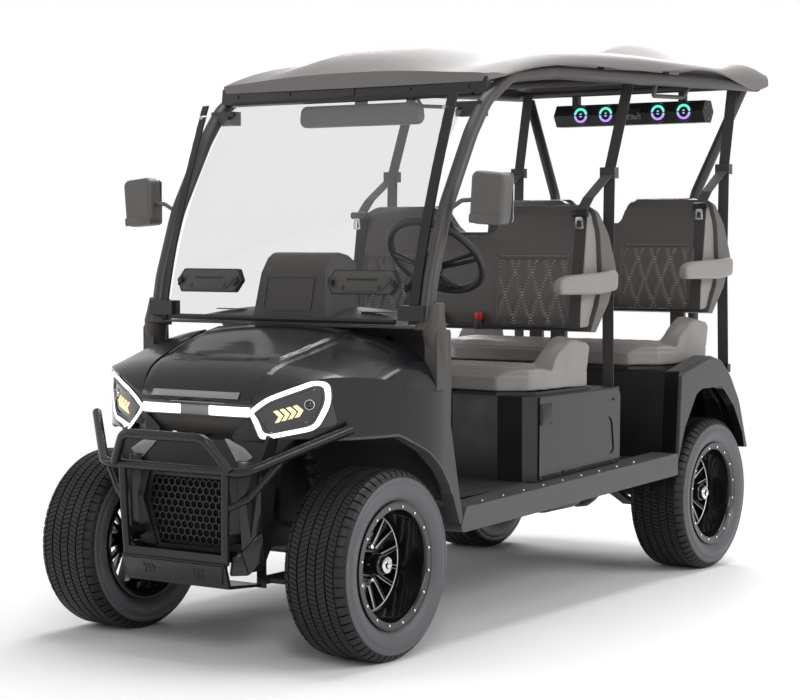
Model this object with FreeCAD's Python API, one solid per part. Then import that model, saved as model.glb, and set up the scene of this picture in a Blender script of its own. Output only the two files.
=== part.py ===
"""Four-seat golf cart with roof, windscreen and brush guard, in millimetres.

The cart faces -Y, its left side is +X and +Z is up. While it is drawn, y = 0 is midway
between the axles and z = 0 is the ground. Each piece is moved along Y when it is written,
so that the origin lies on the ground under the middle of the overall length.
"""
import FreeCAD
import Part
import math
import os

V = FreeCAD.Vector

# Wheels and running gear
wheelbase = 2174.0
overall_width = 1222.0
tyre_diameter = 584.0
tyre_width = 235.0
shoulder_width = 34.0
tyre_facets = 48
flange_diameter = 392.0
rim_wall = 8.0
rim_inset = 10.0
flange_thick = 8.0
bead_drop = 18.0
barrel_radius = 164.0
spoke_count = 5
lug_count = 5
kingpin_inset = 206.0
steering_arm = 100.0
rack_height = 300.0
running_gap = 0.5
axle_tube = 64.0
differential_radius = 98.0
lug_front = -120.0
lug_span = 192.0
lug_thick = 8.0

# Frame
rail_centre = 180.0
rail_width = 50.0
rail_bottom = 330.0
rail_height = 80.0
rail_front = -1300.0
rail_rear = 1440.0
cross_width = 60.0
floor_top = 450.0
floor_thick = 10.0

# Body
body_width = 1208.0
panel = 5.0
nose_y = -1311.0
cowl_rear_y = -868.0
entry_front_y = -745.0
seat_box_front = -175.0
seat_box_depth = 625.0
seat_box_margin = 5.0
side_cover = 7.0
seat_box_top = 742.0
rear_step = 955.0
rear_rise = 40.0
tail_y = 1490.0
tail_half = 450.0
tow_hole = 19.0
sill_width = 105.0
sill_height = 82.0
rake = 0.0305
flare_depth = 8.0
flare_width = 34.0
flare_share = 0.972
fender_clear = 14.0
fender_round = 12.0

# Seats
seat_half_width = 520.0
pan_thick = 12.0
lid_gap = 0.3
lid_hinge_y = 272.0
back_bottom = 948.0
belt_x = 480.0
belt_width = 45.0

# Canopy
post_diameter = 48.0
post_x = 550.0
rail_rear_y = 1560.0
belt_bow_y = 620.0
rear_bow_y = 1500.0
strut_diameter = 42.0
roof_half_width = 585.0
roof_front_y = -500.0
roof_rear_y = 1640.0
roof_wall = 6.0
roof_side = 6.0
roof_crown = 1975.0
canopy_foot = 1000.0
glass_thick = 6.0
pane_forward = 12.0

# Side line of the posts and rails, as (y, z) at the crown height above
post_line = [(-856, 1000), (-825, 1151), (-744, 1374), (-595, 1619), (-508, 1727), (-363, 1815),
             (-100, 1846), (rail_rear_y, 1899)]
# Heights across the roof from its middle to its edge, by y, at the same crown height
roof_stations = [
    (-512, (1838, 1835, 1827, 1822, 1816, 1806, 1793)),
    (-420, (1888, 1881, 1857, 1847, 1848, 1838, 1819)),
    (-300, (1931, 1921, 1888, 1875, 1880, 1869, 1845)),
    (-100, (1959, 1951, 1917, 1904, 1913, 1901, 1873)),
    (250, (1972, 1967, 1936, 1926, 1939, 1926, 1889)),
    (700, (1975, 1971, 1946, 1938, 1951, 1938, 1905)),
    (1200, (1972, 1969, 1950, 1944, 1955, 1944, 1921)),
    (1660, (1962, 1959, 1950, 1945, 1955, 1946, 1933)),
]

# Steering wheel
steering_axis = V(0, 0.688, 0.7257)
steering_centre = V(240, -328, 1222)
steering_radius = 184.0

# Brush guard
guard_tube = 30.0
hoop_top_y = -1463.0

# Places worked out from the driving dimensions
axle_y = wheelbase / 2
wheel_z = tyre_diameter / 2
wheel_x = (overall_width - tyre_width) / 2
kingpin_x = overall_width / 2 - kingpin_inset
half_body = body_width / 2
rail_top = rail_bottom + rail_height
rear_base_top = seat_box_top + rear_rise
fender_inner = seat_half_width + fender_clear
origin_y = ((hoop_top_y - guard_tube / 2) + roof_rear_y) / 2


def aloft(height):
    """A height over the dash, stretched with the roof's crown."""
    return canopy_foot + (height - canopy_foot) * (roof_crown - canopy_foot) / 975.0


def block(x0, x1, y0, y1, z0, z1):
    """A box between two corners."""
    return Part.makeBox(x1 - x0, y1 - y0, z1 - z0, V(x0, y0, z0))


def joined(shapes):
    """One shape from several that meet, without seams."""
    return shapes[0].multiFuse(shapes[1:]).removeSplitter()


def mirrored(shape):
    """The same piece on the other side of the cart."""
    return shape.mirror(V(0, 0, 0), V(1, 0, 0))


def both_sides(shape):
    """A left piece and its mirror image, kept as separate solids."""
    return Part.makeCompound([shape, mirrored(shape)])


def corner_arc(before, corner, after, radius):
    """Start, middle and end of the arc that rounds one corner."""
    d1 = (before - corner).normalize()
    d2 = (after - corner).normalize()
    half = d1.getAngle(d2) / 2
    reach = radius / math.tan(half)
    bisector = (d1 + d2).normalize()
    middle = corner + bisector * (radius / math.sin(half) - radius)
    return corner + d1 * reach, middle, corner + d2 * reach


def rounded_path(points, radius, closed):
    """Straight runs joined by tangent arcs. Radius is one value or one for each corner."""
    count = len(points)
    radii = radius if isinstance(radius, list) else [radius] * count
    corners = []
    for i, point in enumerate(points):
        is_end = not closed and i in (0, count - 1)
        if is_end or radii[i] <= 0:
            corners.append((point, None, point))
        else:
            corners.append(corner_arc(points[i - 1], point, points[(i + 1) % count], radii[i]))
    edges = []
    for i, (start, middle, end) in enumerate(corners):
        if middle is not None:
            edges.append(Part.Arc(start, middle, end).toShape())
        following = corners[(i + 1) % count][0]
        if (closed or i < count - 1) and end.distanceToPoint(following) > 0.01:
            edges.append(Part.LineSegment(end, following).toShape())
    return Part.Wire(edges)


def prism_x(yz, x0, x1, radius=0.0):
    """An outline in the Y-Z plane, drawn across the cart from x0 to x1."""
    wire = rounded_path([V(x0, y, z) for y, z in yz], radius, True)
    return Part.Face(wire).extrude(V(x1 - x0, 0, 0))


def prism_y(xz, y0, y1, radius=0.0):
    """An outline in the X-Z plane, drawn along the cart from y0 to y1."""
    wire = rounded_path([V(x, y0, z) for x, z in xz], radius, True)
    return Part.Face(wire).extrude(V(0, y1 - y0, 0))


def prism_z(xy, z0, z1, radius=0.0):
    """An outline in plan, drawn upwards from z0 to z1."""
    wire = rounded_path([V(x, y, z0) for x, y in xy], radius, True)
    return Part.Face(wire).extrude(V(0, 0, z1 - z0))


def tube(points, diameter, bend, wall=0.0):
    """A round bar or tube along straight runs with bent corners."""
    path = rounded_path(points, bend, False)
    heading = (points[1] - points[0]).normalize()

    def swept(radius):
        ring = Part.Wire(Part.Circle(points[0], heading, radius).toShape())
        return path.makePipeShell([ring], True, False)

    outer = swept(diameter / 2)
    return outer.cut(swept(diameter / 2 - wall)) if wall else outer


def rod(start, end, radius):
    """A plain cylinder between two points."""
    run = end - start
    return Part.makeCylinder(radius, run.Length, start, run)


def offset_line(points, distance):
    """An open line moved sideways, to its left, by a distance."""
    moved = []
    for i, (a, b) in enumerate(points):
        before = points[max(i - 1, 0)]
        after = points[min(i + 1, len(points) - 1)]
        normals = []
        for (p, q), (r, s) in ((before, (a, b)), ((a, b), after)):
            length = math.hypot(r - p, s - q)
            if length > 0:
                normals.append((-(s - q) / length, (r - p) / length))
        na, nb = normals[0], normals[-1]
        scale = distance / (1 + na[0] * nb[0] + na[1] * nb[1])
        moved.append((a + (na[0] + nb[0]) * scale, b + (na[1] + nb[1]) * scale))
    return moved


def sheet_x(yz, thick, x0, x1):
    """A bent sheet: an open line in the Y-Z plane with a thickness, drawn across."""
    return prism_x(yz + offset_line(yz, thick)[::-1], x0, x1)


def revolved_x(profile, centre):
    """A closed outline of (x, radius) pairs, turned about an axis along X."""
    points = [V(x, 0, r) for x, r in profile]
    face = Part.Face(Part.makePolygon(points + [points[0]]))
    solid = face.revolve(V(0, 0, 0), V(1, 0, 0), 360)
    solid.translate(centre)
    return solid


# Wheels

def wheel_centre(side, end):
    """Centre of one wheel. Side is 1 for left, end is -1 for front."""
    return V(side * wheel_x, end * axle_y, wheel_z)


def placed_wheel_piece(shape, side, end):
    """A left wheel's piece, moved to one corner of the cart."""
    piece = shape if side > 0 else mirrored(shape)
    piece = piece.copy()
    piece.translate(wheel_centre(side, end))
    return piece


def tyre():
    """A low-profile tyre in flat facets, with square shoulders, open round the rim's seat."""
    half = tyre_width / 2
    radius = tyre_diameter / 2
    flange = flange_diameter / 2
    seat_half = half - rim_inset - flange_thick
    bead = (flange - bead_drop + 0.1) / math.cos(math.pi / tyre_facets)
    side = [(seat_half - 0.2, bead), (seat_half - 0.2, flange + 2), (half, flange + 44),
            (half - 4, radius - 26), (half - shoulder_width, radius)]
    profile = side + [(-x, r) for x, r in side[::-1]]
    rings = []
    for i in range(tyre_facets):
        angle = 2 * math.pi * i / tyre_facets
        rings.append([V(x, r * math.sin(angle), -r * math.cos(angle)) for x, r in profile])
    faces = []
    for i, ring in enumerate(rings):
        following = rings[(i + 1) % tyre_facets]
        for j in range(len(profile)):
            k = (j + 1) % len(profile)
            corners = [ring[j], ring[k], following[k], following[j]]
            faces.append(Part.Face(Part.makePolygon(corners + [corners[0]])))
    solid = Part.makeSolid(Part.makeShell(faces))
    if solid.Volume < 0:
        solid.reverse()
    return solid


def rim():
    """Rim barrel, deep-set split spokes, hub barrel with cap, lug nuts and drum."""
    half = tyre_width / 2 - rim_inset
    flange = flange_diameter / 2
    seat = flange - bead_drop
    barrel = barrel_radius
    barrel_profile = [
        (-half, flange), (-half + flange_thick, flange), (-half + flange_thick, seat),
        (-half + 42, seat),
        (-half + 52, barrel + rim_wall), (half - 52, barrel + rim_wall), (half - 42, seat),
        (half - flange_thick, seat), (half - flange_thick, flange), (half, flange),
        (half, flange - 8),
        (half - 14, seat - rim_wall), (half - 44, seat - rim_wall), (half - 58, barrel),
        (-half + 58, barrel), (-half + 44, seat - rim_wall), (-half + 14, seat - rim_wall),
        (-half, flange - 8),
    ]
    ring = revolved_x(barrel_profile, V(0, 0, 0))
    face_x = -42.0
    spoke_thick = 20.0
    hub = Part.makeCylinder(62.0, spoke_thick + 14, V(face_x - 14, 0, 0), V(1, 0, 0))
    barrel_hub = Part.makeCylinder(34.0, 104.0, V(face_x, 0, 0), V(1, 0, 0))
    cap = Part.makeCone(33.0, 24.0, 14.0, V(face_x + 104, 0, 0), V(1, 0, 0))
    pieces = [ring, hub, barrel_hub, cap]
    for i in range(spoke_count):
        for lean in (-1, 1):
            root = lean * 13.0
            tip = lean * 34.0
            spoke = prism_x(
                [(root - 9, 52), (root + 9, 52), (tip + 12, barrel + 3), (tip - 12, barrel + 3)],
                face_x, face_x + spoke_thick)
            spoke.rotate(V(0, 0, 0), V(1, 0, 0), 360.0 / spoke_count * i)
            pieces.append(spoke)
    for i in range(lug_count):
        angle = 2 * math.pi * (i + 0.5) / lug_count
        foot = V(face_x + spoke_thick - 1, 48 * math.sin(angle), 48 * math.cos(angle))
        pieces.append(Part.makeCylinder(9.0, 22.0, foot, V(1, 0, 0)))
    return joined(pieces)


# Front suspension and steering

def knuckle():
    """Left knuckle: kingpin housing, stub axle, brake plate and steering arm."""
    x, y, z = kingpin_x, -axle_y, wheel_z
    post = Part.makeCylinder(18.0, 144.0, V(x, y, z - 72), V(0, 0, 1))
    hub_back = wheel_x - 42.0 - 14.0
    stub = Part.makeCylinder(16.0, hub_back - running_gap - x, V(x, y, z), V(1, 0, 0))
    plate = Part.makeCylinder(70.0, 6.0, V(hub_back - running_gap - 6, y, z), V(1, 0, 0))
    arm_top = rack_height - 15.0
    arm = prism_z([(x - 15, y), (x + 15, y), (x + 13, y + steering_arm + 13),
                   (x - 13, y + steering_arm + 13)], arm_top - 18, arm_top, [0, 0, 10, 10])
    return joined([post, stub, plate, arm])


def tie_rods():
    """Rack bar with a ball joint at each end, over the steering arms."""
    y = -axle_y + steering_arm
    z = rack_height
    bar = rod(V(-kingpin_x, y, z), V(kingpin_x, y, z), 8.0)
    ends = [Part.makeCylinder(13.0, 28.0, V(s * kingpin_x, y, z - 14.5), V(0, 0, 1))
            for s in (-1, 1)]
    return joined([bar] + ends)


def steering_rack():
    """Rack housing, hollow for its bar, hung from the front cross member."""
    y = -axle_y + steering_arm
    length = 2 * (rail_centre - rail_width / 2 - 5)
    housing = Part.makeCylinder(22.0, length, V(-length / 2, y, rack_height), V(1, 0, 0))
    pinion = rod(V(110, y + 22, rack_height - 4), V(110, y + 22, rack_height + 55), 16.0)
    hanger = block(-90, 90, y - 14, y + 14, rack_height + 10, rail_top - 60)
    bore = Part.makeCylinder(12.0, length + 20, V(-length / 2 - 10, y, rack_height), V(1, 0, 0))
    return largest(joined([housing, pinion, hanger]).cut(bore).cut(chassis_frame()))


def lower_arm():
    """Left lower arm: ball joint, two legs, barrel between the frame's lugs, perch."""
    x, y, z = kingpin_x, -axle_y, wheel_z
    low = z - 72 - running_gap
    lower_tip = Part.makeCylinder(20.0, 20.0, V(x, y, low - 20), V(0, 0, 1))
    legs = [rod(V(x, y, low - 12), V(rail_centre, y + dy, low + 6), 10.0) for dy in (-95, 50)]
    barrel = Part.makeCylinder(14.0, lug_span - 1, V(rail_centre, y + lug_front + 0.5, low + 6),
                               V(0, 1, 0))
    perch = block(x - 120, x - 82, y + 20, y + 68, low - 8, low + 10)
    return joined([lower_tip, barrel, perch] + legs)


def suspension_arms():
    """Lower and upper arms of both front wheels, from the rails to the kingpins."""
    x, y, z = kingpin_x, -axle_y, wheel_z
    lower = lower_arm()
    high = z + 72 + running_gap
    upper_tip = Part.makeCylinder(18.0, 20.0, V(x, y, high), V(0, 0, 1))
    link = rod(V(x, y, high + 10), V(rail_centre, y - 24, high + 30), 9.0)
    rail_face = rail_centre + rail_width / 2
    upper = joined([upper_tip, link]).cut(block(0, rail_face, y - 100, y + 100, 0, 600))
    return Part.makeCompound([lower, upper, mirrored(lower), mirrored(upper)])


def coil_over(foot, head, coil_radius, wire, turns):
    """A damper with a coil spring round it, turned as one outline about its axis."""
    run = head - foot
    length = run.Length
    low, high = 0.20 * length, 0.88 * length
    pitch = (high - low) / turns
    outline = [(0, 0), (13, 0), (13, low - 8), (coil_radius + wire, low - 8),
               (coil_radius + wire, low)]
    for i in range(turns):
        base = low + pitch * i
        outline += [(coil_radius - wire, base), (coil_radius, base + pitch / 2 - wire),
                    (coil_radius + wire, base + pitch / 2),
                    (coil_radius, base + pitch / 2 + wire)]
    outline += [(coil_radius - wire, high), (coil_radius + wire, high),
                (coil_radius + wire, high + 8), (15, high + 8), (15, length), (0, length)]
    points = [V(r, 0, h) for r, h in outline]
    solid = Part.Face(Part.makePolygon(points + [points[0]])).revolve(V(0, 0, 0), V(0, 0, 1), 360)
    solid.Placement = FreeCAD.Placement(foot, FreeCAD.Rotation(V(0, 0, 1), run))
    return solid


def front_dampers():
    """Coil-over dampers leaning in from the lower arms to the towers."""
    foot = V(kingpin_x - 101, -axle_y + 46, wheel_z - 60)
    head = V(rail_centre + 45, -axle_y + 46, 640.0)
    damper = coil_over(foot, head, 24.0, 5.5, 8).cut(chassis_frame()).cut(lower_arm())
    return both_sides(largest(damper))


# Frame

def chassis_frame():
    """Ladder frame of box rails, cross members and damper towers."""
    half = rail_width / 2
    pieces = []
    for side in (-1, 1):
        x = side * rail_centre
        pieces.append(block(x - half, x + half, rail_front, rail_rear, rail_bottom, rail_top))
    deck = floor_top - floor_thick
    reach = half_body - sill_width
    for y, span in ((-690, reach), (seat_box_front + 60, reach), (420, reach), (740, reach)):
        pieces.append(block(-span, span, y - cross_width / 2, y + cross_width / 2,
                            rail_top - 50, deck))
    for y, span in ((rail_front + 30, 205), (-axle_y + 100, 205), (rail_rear - 30, 330),
                    (axle_y - 330, 330)):
        pieces.append(block(-span, span, y - cross_width / 2, y + cross_width / 2,
                            rail_bottom + 20, rail_top))
    for side in (-1, 1):
        x = side * rail_centre
        tower = prism_x([(-axle_y - 70, rail_top - 5), (-axle_y + 110, rail_top - 5),
                         (-axle_y + 80, 655), (-axle_y - 30, 655)],
                        x + side * (half - 8), x + side * half)
        cap = block(min(x, x + side * 60), max(x, x + side * 60), -axle_y + 12, -axle_y + 80,
                    640, 648)
        lug_y = -axle_y + lug_front
        lugs = [block(x - 16, x + 16, y, y + lug_thick, wheel_z - 88, rail_bottom + 5)
                for y in (lug_y - lug_thick, lug_y + lug_span)]
        pieces += [tower, cap] + lugs
        rear_tower = prism_x([(axle_y + 40, rail_top - 5), (axle_y + 170, rail_top - 5),
                              (axle_y + 150, 560), (axle_y + 80, 560)],
                             x + side * (half - 8), x + side * half)
        rear_cap = block(min(x, x + side * 95), max(x, x + side * 95), axle_y + 80, axle_y + 150,
                         545, 553)
        pieces += [rear_tower, rear_cap]
    return joined(pieces)


def rear_axle():
    """Drive axle: tubes, differential housing and brake backing plates, as one turned form."""
    end_x = wheel_x - 42.0 - 14.0 - running_gap
    tube_r = axle_tube / 2
    half = [(0, differential_radius), (38, 92), (66, 72), (92, 46), (150, tube_r),
            (end_x - 14, tube_r), (end_x - 14, 100), (end_x, 100)]
    outline = [(-end_x, 0)] + [(-x, r) for x, r in half[:0:-1]] + half + [(end_x, 0)]
    return revolved_x(outline, V(0, axle_y, wheel_z))


def motor_block():
    """Traction motor as one plain block between its cross member and the differential."""
    front = axle_y - 300
    length = 300 - differential_radius - running_gap
    return Part.makeCylinder(90.0, length, V(0, front, wheel_z), V(0, 1, 0))


def rear_suspension():
    """Leaf springs with shackles, and the rear dampers."""
    x0, x1 = 285.0, 335.0
    y, z = axle_y, wheel_z
    top = rail_bottom + 20
    under = z - axle_tube / 2 - running_gap
    leaf = prism_x([(y - 330, top - 22), (y - 150, under - 16), (y + 150, under - 16),
                    (y + 323, top - 22), (y + 323, top - 8), (y + 140, under), (y - 140, under),
                    (y - 330, top - 8)], x0, x1)
    eyes = [Part.makeCylinder(16.0, x1 - x0, V(x0, y + dy, top - 16), V(1, 0, 0))
            for dy in (-330, 323)]
    clamp = block(x0 - 5, x1 + 5, y - 50, y + 50, under - 30, under)
    spring = joined([leaf, clamp] + eyes)
    damper = coil_over(V(245, y + 45, z + 5), V(245, y + 115, 545.0), 24.0, 5.5, 7)
    damper = largest(damper.cut(chassis_frame()).cut(rear_axle()))
    return Part.makeCompound([spring, mirrored(spring), damper, mirrored(damper)])


def battery_block():
    """Drive battery as one plain block under the front seat."""
    return block(-300, 300, seat_box_front + 110, seat_box_front + 520, floor_top,
                 floor_top + 230)


def floor_pan():
    """Floor under both footwells and the seat box."""
    half = half_body - sill_width
    return block(-half, half, entry_front_y, rear_step + seat_box_front, floor_top - floor_thick,
                 floor_top)


def raked(y, height):
    """A height at y = 0, carried along the slight rise of the body to the rear."""
    return height + rake * y


def sills():
    """Rocker mouldings along both footwells, rising slightly to the rear."""
    top = 451.0
    front, rear = -615.0, 776.0
    bottom = top - sill_height
    side = [(front - 125, raked(front, bottom)), (rear, raked(rear, bottom)),
            (rear, raked(rear, top)), (front, raked(front, top)), (front - 85, raked(front, top))]
    sill = prism_x(side, half_body - sill_width, half_body, [18, 10, 10, 60, 20])
    return both_sides(sill)


# Front body

def cowl_section(y, crown, inset):
    """One closed cross-section of the hood and fenders, a little wider than their plan."""
    w = half_body + 8 - inset
    top = crown - inset
    half = [(0, top), (0.24 * w, top - 4), (0.52 * w, top - 18), (0.76 * w, top - 48),
            (0.90 * w, top - 92), (0.975 * w, top - 165), (w, top - 255)]
    points = [V(-x, y, z) for x, z in half[:0:-1]] + [V(x, y, z) for x, z in half]
    curve = Part.BSplineCurve()
    curve.interpolate(points)
    low = 540.0 - (20.0 if inset else 0.0)
    corner_l, corner_r = V(-w, y, low), V(w, y, low)
    edges = [curve.toShape(), Part.LineSegment(points[-1], corner_r).toShape(),
             Part.LineSegment(corner_r, corner_l).toShape(),
             Part.LineSegment(corner_l, points[0]).toShape()]
    return Part.Wire(edges)


def cowl_plan(inset, rear):
    """Plan outline of the front body, rounded from the nose to the fenders."""
    w = half_body - inset
    nose = nose_y + inset
    half = [(0, nose), (215, nose + 3), (330, nose + 42), (430, nose + 104), (520, nose + 200),
            (w - 22, nose + 320), (w, nose + 480)]
    points = [V(-x, y, 0) for x, y in half[:0:-1]] + [V(x, y, 0) for x, y in half]
    curve = Part.BSplineCurve()
    curve.interpolate(points)
    right, left = V(w, rear, 0), V(-w, rear, 0)
    edges = [curve.toShape(), Part.LineSegment(points[-1], right).toShape(),
             Part.LineSegment(right, left).toShape(), Part.LineSegment(left, points[0]).toShape()]
    face = Part.Face(Part.Wire(edges))
    face.translate(V(0, 0, 480))
    return face.extrude(V(0, 0, 620))


def cowl_volume(inset, rear):
    """Front body as a solid, drawn in by the panel thickness when inset."""
    crowns = [(-1350, 742), (-1311, 800), (-1287, 837), (-1214, 896), (-1115, 929), (-977, 971),
              (-829, 1000), (-760, 1012)]
    loft = Part.makeLoft([cowl_section(y, z, inset) for y, z in crowns], True, False)
    return loft.common(cowl_plan(inset, rear))


def front_arch(x0, x1, grow=0.0):
    """Opening over a front wheel, flat on top and raked behind."""
    outline = [(-1500, 668 + grow), (-1025, 687 + grow), (-903 + grow, 623), (-831 + grow, 562),
               (-794 + grow, 513), (-700, 300), (-1500, 300)]
    return prism_x(outline, x0, x1, [0, 40, 30, 60, 30, 0, 0])


def lamp_outline(grow=0.0):
    """Outline of the left headlamp seen from the front."""
    return [(212 - grow, 758), (432 + grow, 852 + grow), (455 + grow, 720 - grow),
            (289, 681 - grow)]


def lamp_zone(y0, y1, grow):
    """Space that both headlamps and the light bar between them take."""
    left = prism_y(lamp_outline(grow), y0, y1, [0, 14, 14, 14])
    bar = block(-225 - grow, 225 + grow, y0, y1, 738 - grow, 778 + grow)
    return left, mirrored(left), bar


def front_cowl():
    """Painted shell of the fenders and nose, with arches and lamp openings cut."""
    shell = cowl_volume(0, cowl_rear_y).cut(cowl_volume(panel, cowl_rear_y + 40))
    for side in (-1, 1):
        x0, x1 = sorted((side * 236, side * 700))
        shell = shell.cut(front_arch(x0, x1))
    for zone in lamp_zone(-1400, -1100, 1.0):
        shell = shell.cut(zone)
    shell = shell.cut(hood_zone(1.5))
    shell = shell.cut(block(-300, 300, -1400, -1200, 400, 739))
    return largest(shell)


def front_flares():
    """Trim lips that follow the front arches and the plan of the fenders."""
    lip = front_arch(300, half_body + 1).cut(front_arch(290, half_body + 9, -flare_depth))
    strip = cowl_plan(0, entry_front_y).cut(cowl_plan(flare_width, entry_front_y + 10))
    lip = lip.common(strip).cut(block(0, 420, -1500, -1000, 0, 2000))
    return both_sides(largest(lip))


def hood_zone(grow):
    """Plan outline of the hood panel, drawn upwards."""
    half = [(200, -1400), (217, -1311), (248, -1240), (306, -973), (330, -800)]
    outline = [(x + grow, y) for x, y in half]
    plan = outline + [(-x, y) for x, y in outline[::-1]]
    return prism_z(plan, 782, 1100)


def hood_panel():
    """Hood panel between the fenders, one panel thick."""
    shell = cowl_volume(0, cowl_rear_y).cut(cowl_volume(panel, cowl_rear_y + 40))
    return largest(shell.common(hood_zone(0.0)))


def front_lamps():
    """Headlamp units and the light bar, flush with the nose."""
    deep = cowl_volume(0.5, cowl_rear_y).cut(cowl_volume(45.0, cowl_rear_y + 60))
    return joined([largest(deep.common(zone)) for zone in lamp_zone(-1400, -1100, 0.0)])


def largest(shape):
    """The biggest solid of a shape, without the slivers that a cut leaves."""
    return max(shape.Solids, key=lambda solid: solid.Volume)


def front_fascia():
    """Lower front moulding round the grille."""
    outline = [(-300, 700), (300, 700), (262, 560), (238, 330), (206, 262), (-206, 262),
               (-238, 330), (-262, 560)]
    body = prism_y(outline, -1365, -1240, 16)
    slope = prism_x([(-1420, 735), (-1304, 735), (-1338, 590), (-1352, 480), (-1338, 330),
                     (-1300, 250), (-1420, 250)], -320, 320)
    corners = [prism_z([(s * 190, -1420), (s * 330, -1420), (s * 330, -1290)], 240, 740)
               for s in (-1, 1)]
    inner = prism_y([(x * 0.95, z) for x, z in outline], -1320, -1230)
    body = body.cut(slope).cut(corners[0]).cut(corners[1]).cut(inner)
    body = body.cut(grille_window())
    for zone in lamp_zone(-1400, -1100, 0.0):
        body = body.cut(zone)
    for side in (-1, 1):
        body = body.cut(guard_foot(side)).cut(guard_brace(side))
    return largest(body)


def grille_window(shrink=0.0):
    """Opening for the grille: a wide hexagon."""
    s = shrink
    outline = [(-160 + s, 560 - s), (160 - s, 560 - s), (178 - s, 470), (132 - s, 322 + s),
               (-132 + s, 322 + s), (-178 + s, 470)]
    return prism_y(outline, -1420, -1230, 12)


def front_grille():
    """Honeycomb grille set back in the fascia."""
    frame = grille_window(0.0).common(block(-400, 400, -1334, -1322, 200, 800))
    inner = grille_window(12.0)
    field = inner.common(block(-400, 400, -1334, -1322, 200, 800))
    pitch = 34.0
    cells = []
    for row in range(-4, 5):
        for column in range(-6, 7):
            x = column * pitch + (pitch / 2 if row % 2 else 0)
            z = 442 + row * pitch * 0.866
            points = [V(x + 16 * math.sin(math.radians(60 * k)), -1340,
                        z + 16 * math.cos(math.radians(60 * k))) for k in range(6)]
            face = Part.Face(Part.makePolygon(points + [points[0]]))
            cells.append(face.extrude(V(0, 30, 0)))
    field = field.cut(cells)
    return joined([frame.cut(inner), field])


def guard_foot(side):
    """Bracket tube from an upright of the guard back to the frame rail."""
    return rod(V(side * 196, -1405, 372), V(side * 190, rail_front, 372), 16.0)


def guard_brace(side):
    """Side brace from an upright up and out to the guard's side bar."""
    return tube([V(side * 202, -1410, 470), V(side * 262, -1376, 500), V(side * 372, -1330, 634)],
                22, 40)


def brush_guard():
    """Tubular guard with upper hoop, side bars, braces and skid plate."""
    bar = tube([V(516, -1194, 713), V(280, -1416, 584), V(-280, -1416, 584), V(-516, -1194, 713)],
               guard_tube, 70)
    hoop = tube([V(230, -1424, 588), V(160, hoop_top_y, 685), V(-160, hoop_top_y, 685),
                 V(-230, -1424, 588)], guard_tube, 45)
    pieces = [bar, hoop]
    for side in (-1, 1):
        upright = tube([V(side * 205, -1416, 584), V(side * 200, -1412, 420),
                        V(side * 195, -1405, 300)], guard_tube - 4, 120)
        pieces += [upright, guard_brace(side), guard_foot(side)]
    plate = prism_x([(-1424, 304), (-1412, 308), (-1392, 236), (-1240, 222), (-1240, 214),
                     (-1400, 226)], -205, 205)
    window = block(-120, 120, -1440, -1398, 262, 288)
    tie = block(-205, 205, -1416, -1404, 296, 330)
    return largest(joined(pieces + [plate.cut(window), tie]).cut(chassis_frame()))


# Dash, entry posts and controls

def dash_cowl():
    """Dash, toe board and grey entry posts in one moulding."""
    line = [(entry_front_y + 6, floor_top), (entry_front_y + 6, 620), (-800, 770), (-640, 806),
            (-612, 850), (-604, 965), (-640, 1006), (-862, 1004)]
    half = half_body - 42
    skin = sheet_x(line, panel, -half, half)
    post = [(cowl_rear_y, 560), (cowl_rear_y, 985), (-790, 1000), (-786, 860), (-790, 700),
            (-738, 470), (-712, 380), (-760, 380)]
    side = prism_x(post, half_body - 48, half_body - 2, [0, 12, 12, 40, 60, 20, 0, 0])
    side = largest(side.cut(front_arch(half_body - 60, half_body + 10)))
    posts = [side, mirrored(side)]
    boots = [Part.makeCone(42.0, 29.0, 85.0, V(s * post_x, -842, 992), V(0, 0.16, 1))
             for s in (-1, 1)]
    moulding = joined([skin] + posts + boots)
    for solid in steering_column().Solids + canopy_posts().Solids + sills().Solids:
        moulding = moulding.cut(solid)
    return largest(moulding)


def display_pod():
    """Instrument pod standing on the dash, with a recessed screen."""
    outline = [(-660, 1006), (-838, 1006), (-756, 1182), (-736, 1216), (-690, 1212), (-645, 1120)]
    pod = prism_x(outline, -150, 150, [10, 6, 30, 12, 20, 20])
    screen = prism_x([(-640, 1040), (-664, 1040), (-690, 1190), (-640, 1190)], -115, 115)
    return pod.cut(screen)


def steering_wheel():
    """Rim, three spokes and centre pad."""
    c, axis = steering_centre, steering_axis
    rim_ring = Part.makeTorus(steering_radius, 13.0, c, axis)
    pad = Part.makeCylinder(52.0, 34.0, c - axis * 38, axis)
    up = V(0, -axis.z, axis.y)
    pieces = [rim_ring, pad]
    for angle in (90, 210, 330):
        a = math.radians(angle - 0)
        direction = V(math.cos(a), 0, 0) + up * -math.sin(a)
        pieces.append(rod(c - axis * 18, c + direction * steering_radius, 9.0))
    return joined(pieces)


def steering_column():
    """Column tube from the wheel down into the dash, and its lower shaft to the rack."""
    c, axis = steering_centre, steering_axis
    head = c - axis * (38 + running_gap)
    foot = c - axis * 430
    column = rod(foot, head, 26.0)
    shroud = Part.makeCone(46.0, 34.0, 130.0, head - axis * 130, axis)
    return joined([column, shroud])


def pedals():
    """Brake and drive pedals hanging from the dash."""
    pieces = []
    for x, width in ((150, 70), (300, 52)):
        pieces.append(tube([V(x, -700, 792), V(x, -705, 700), V(x, -660, 560)], 14, 40))
        pad = prism_x([(-672, 520), (-664, 516), (-640, 590), (-648, 594)], x - width / 2,
                      x + width / 2)
        pieces.append(pad)
    dash = dash_cowl()
    return Part.makeCompound([largest(joined(pieces[:2]).cut(dash)),
                              largest(joined(pieces[2:]).cut(dash))])


# Canopy

def canopy_side():
    """Left post and rail as one bent tube."""
    path = [V(post_x, y, aloft(z)) for y, z in post_line]
    return tube(path, post_diameter, [0, 300, 400, 300, 150, 150, 200, 0])


def canopy_posts():
    """Both bent tubes, as two solids."""
    return both_sides(canopy_side())


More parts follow.
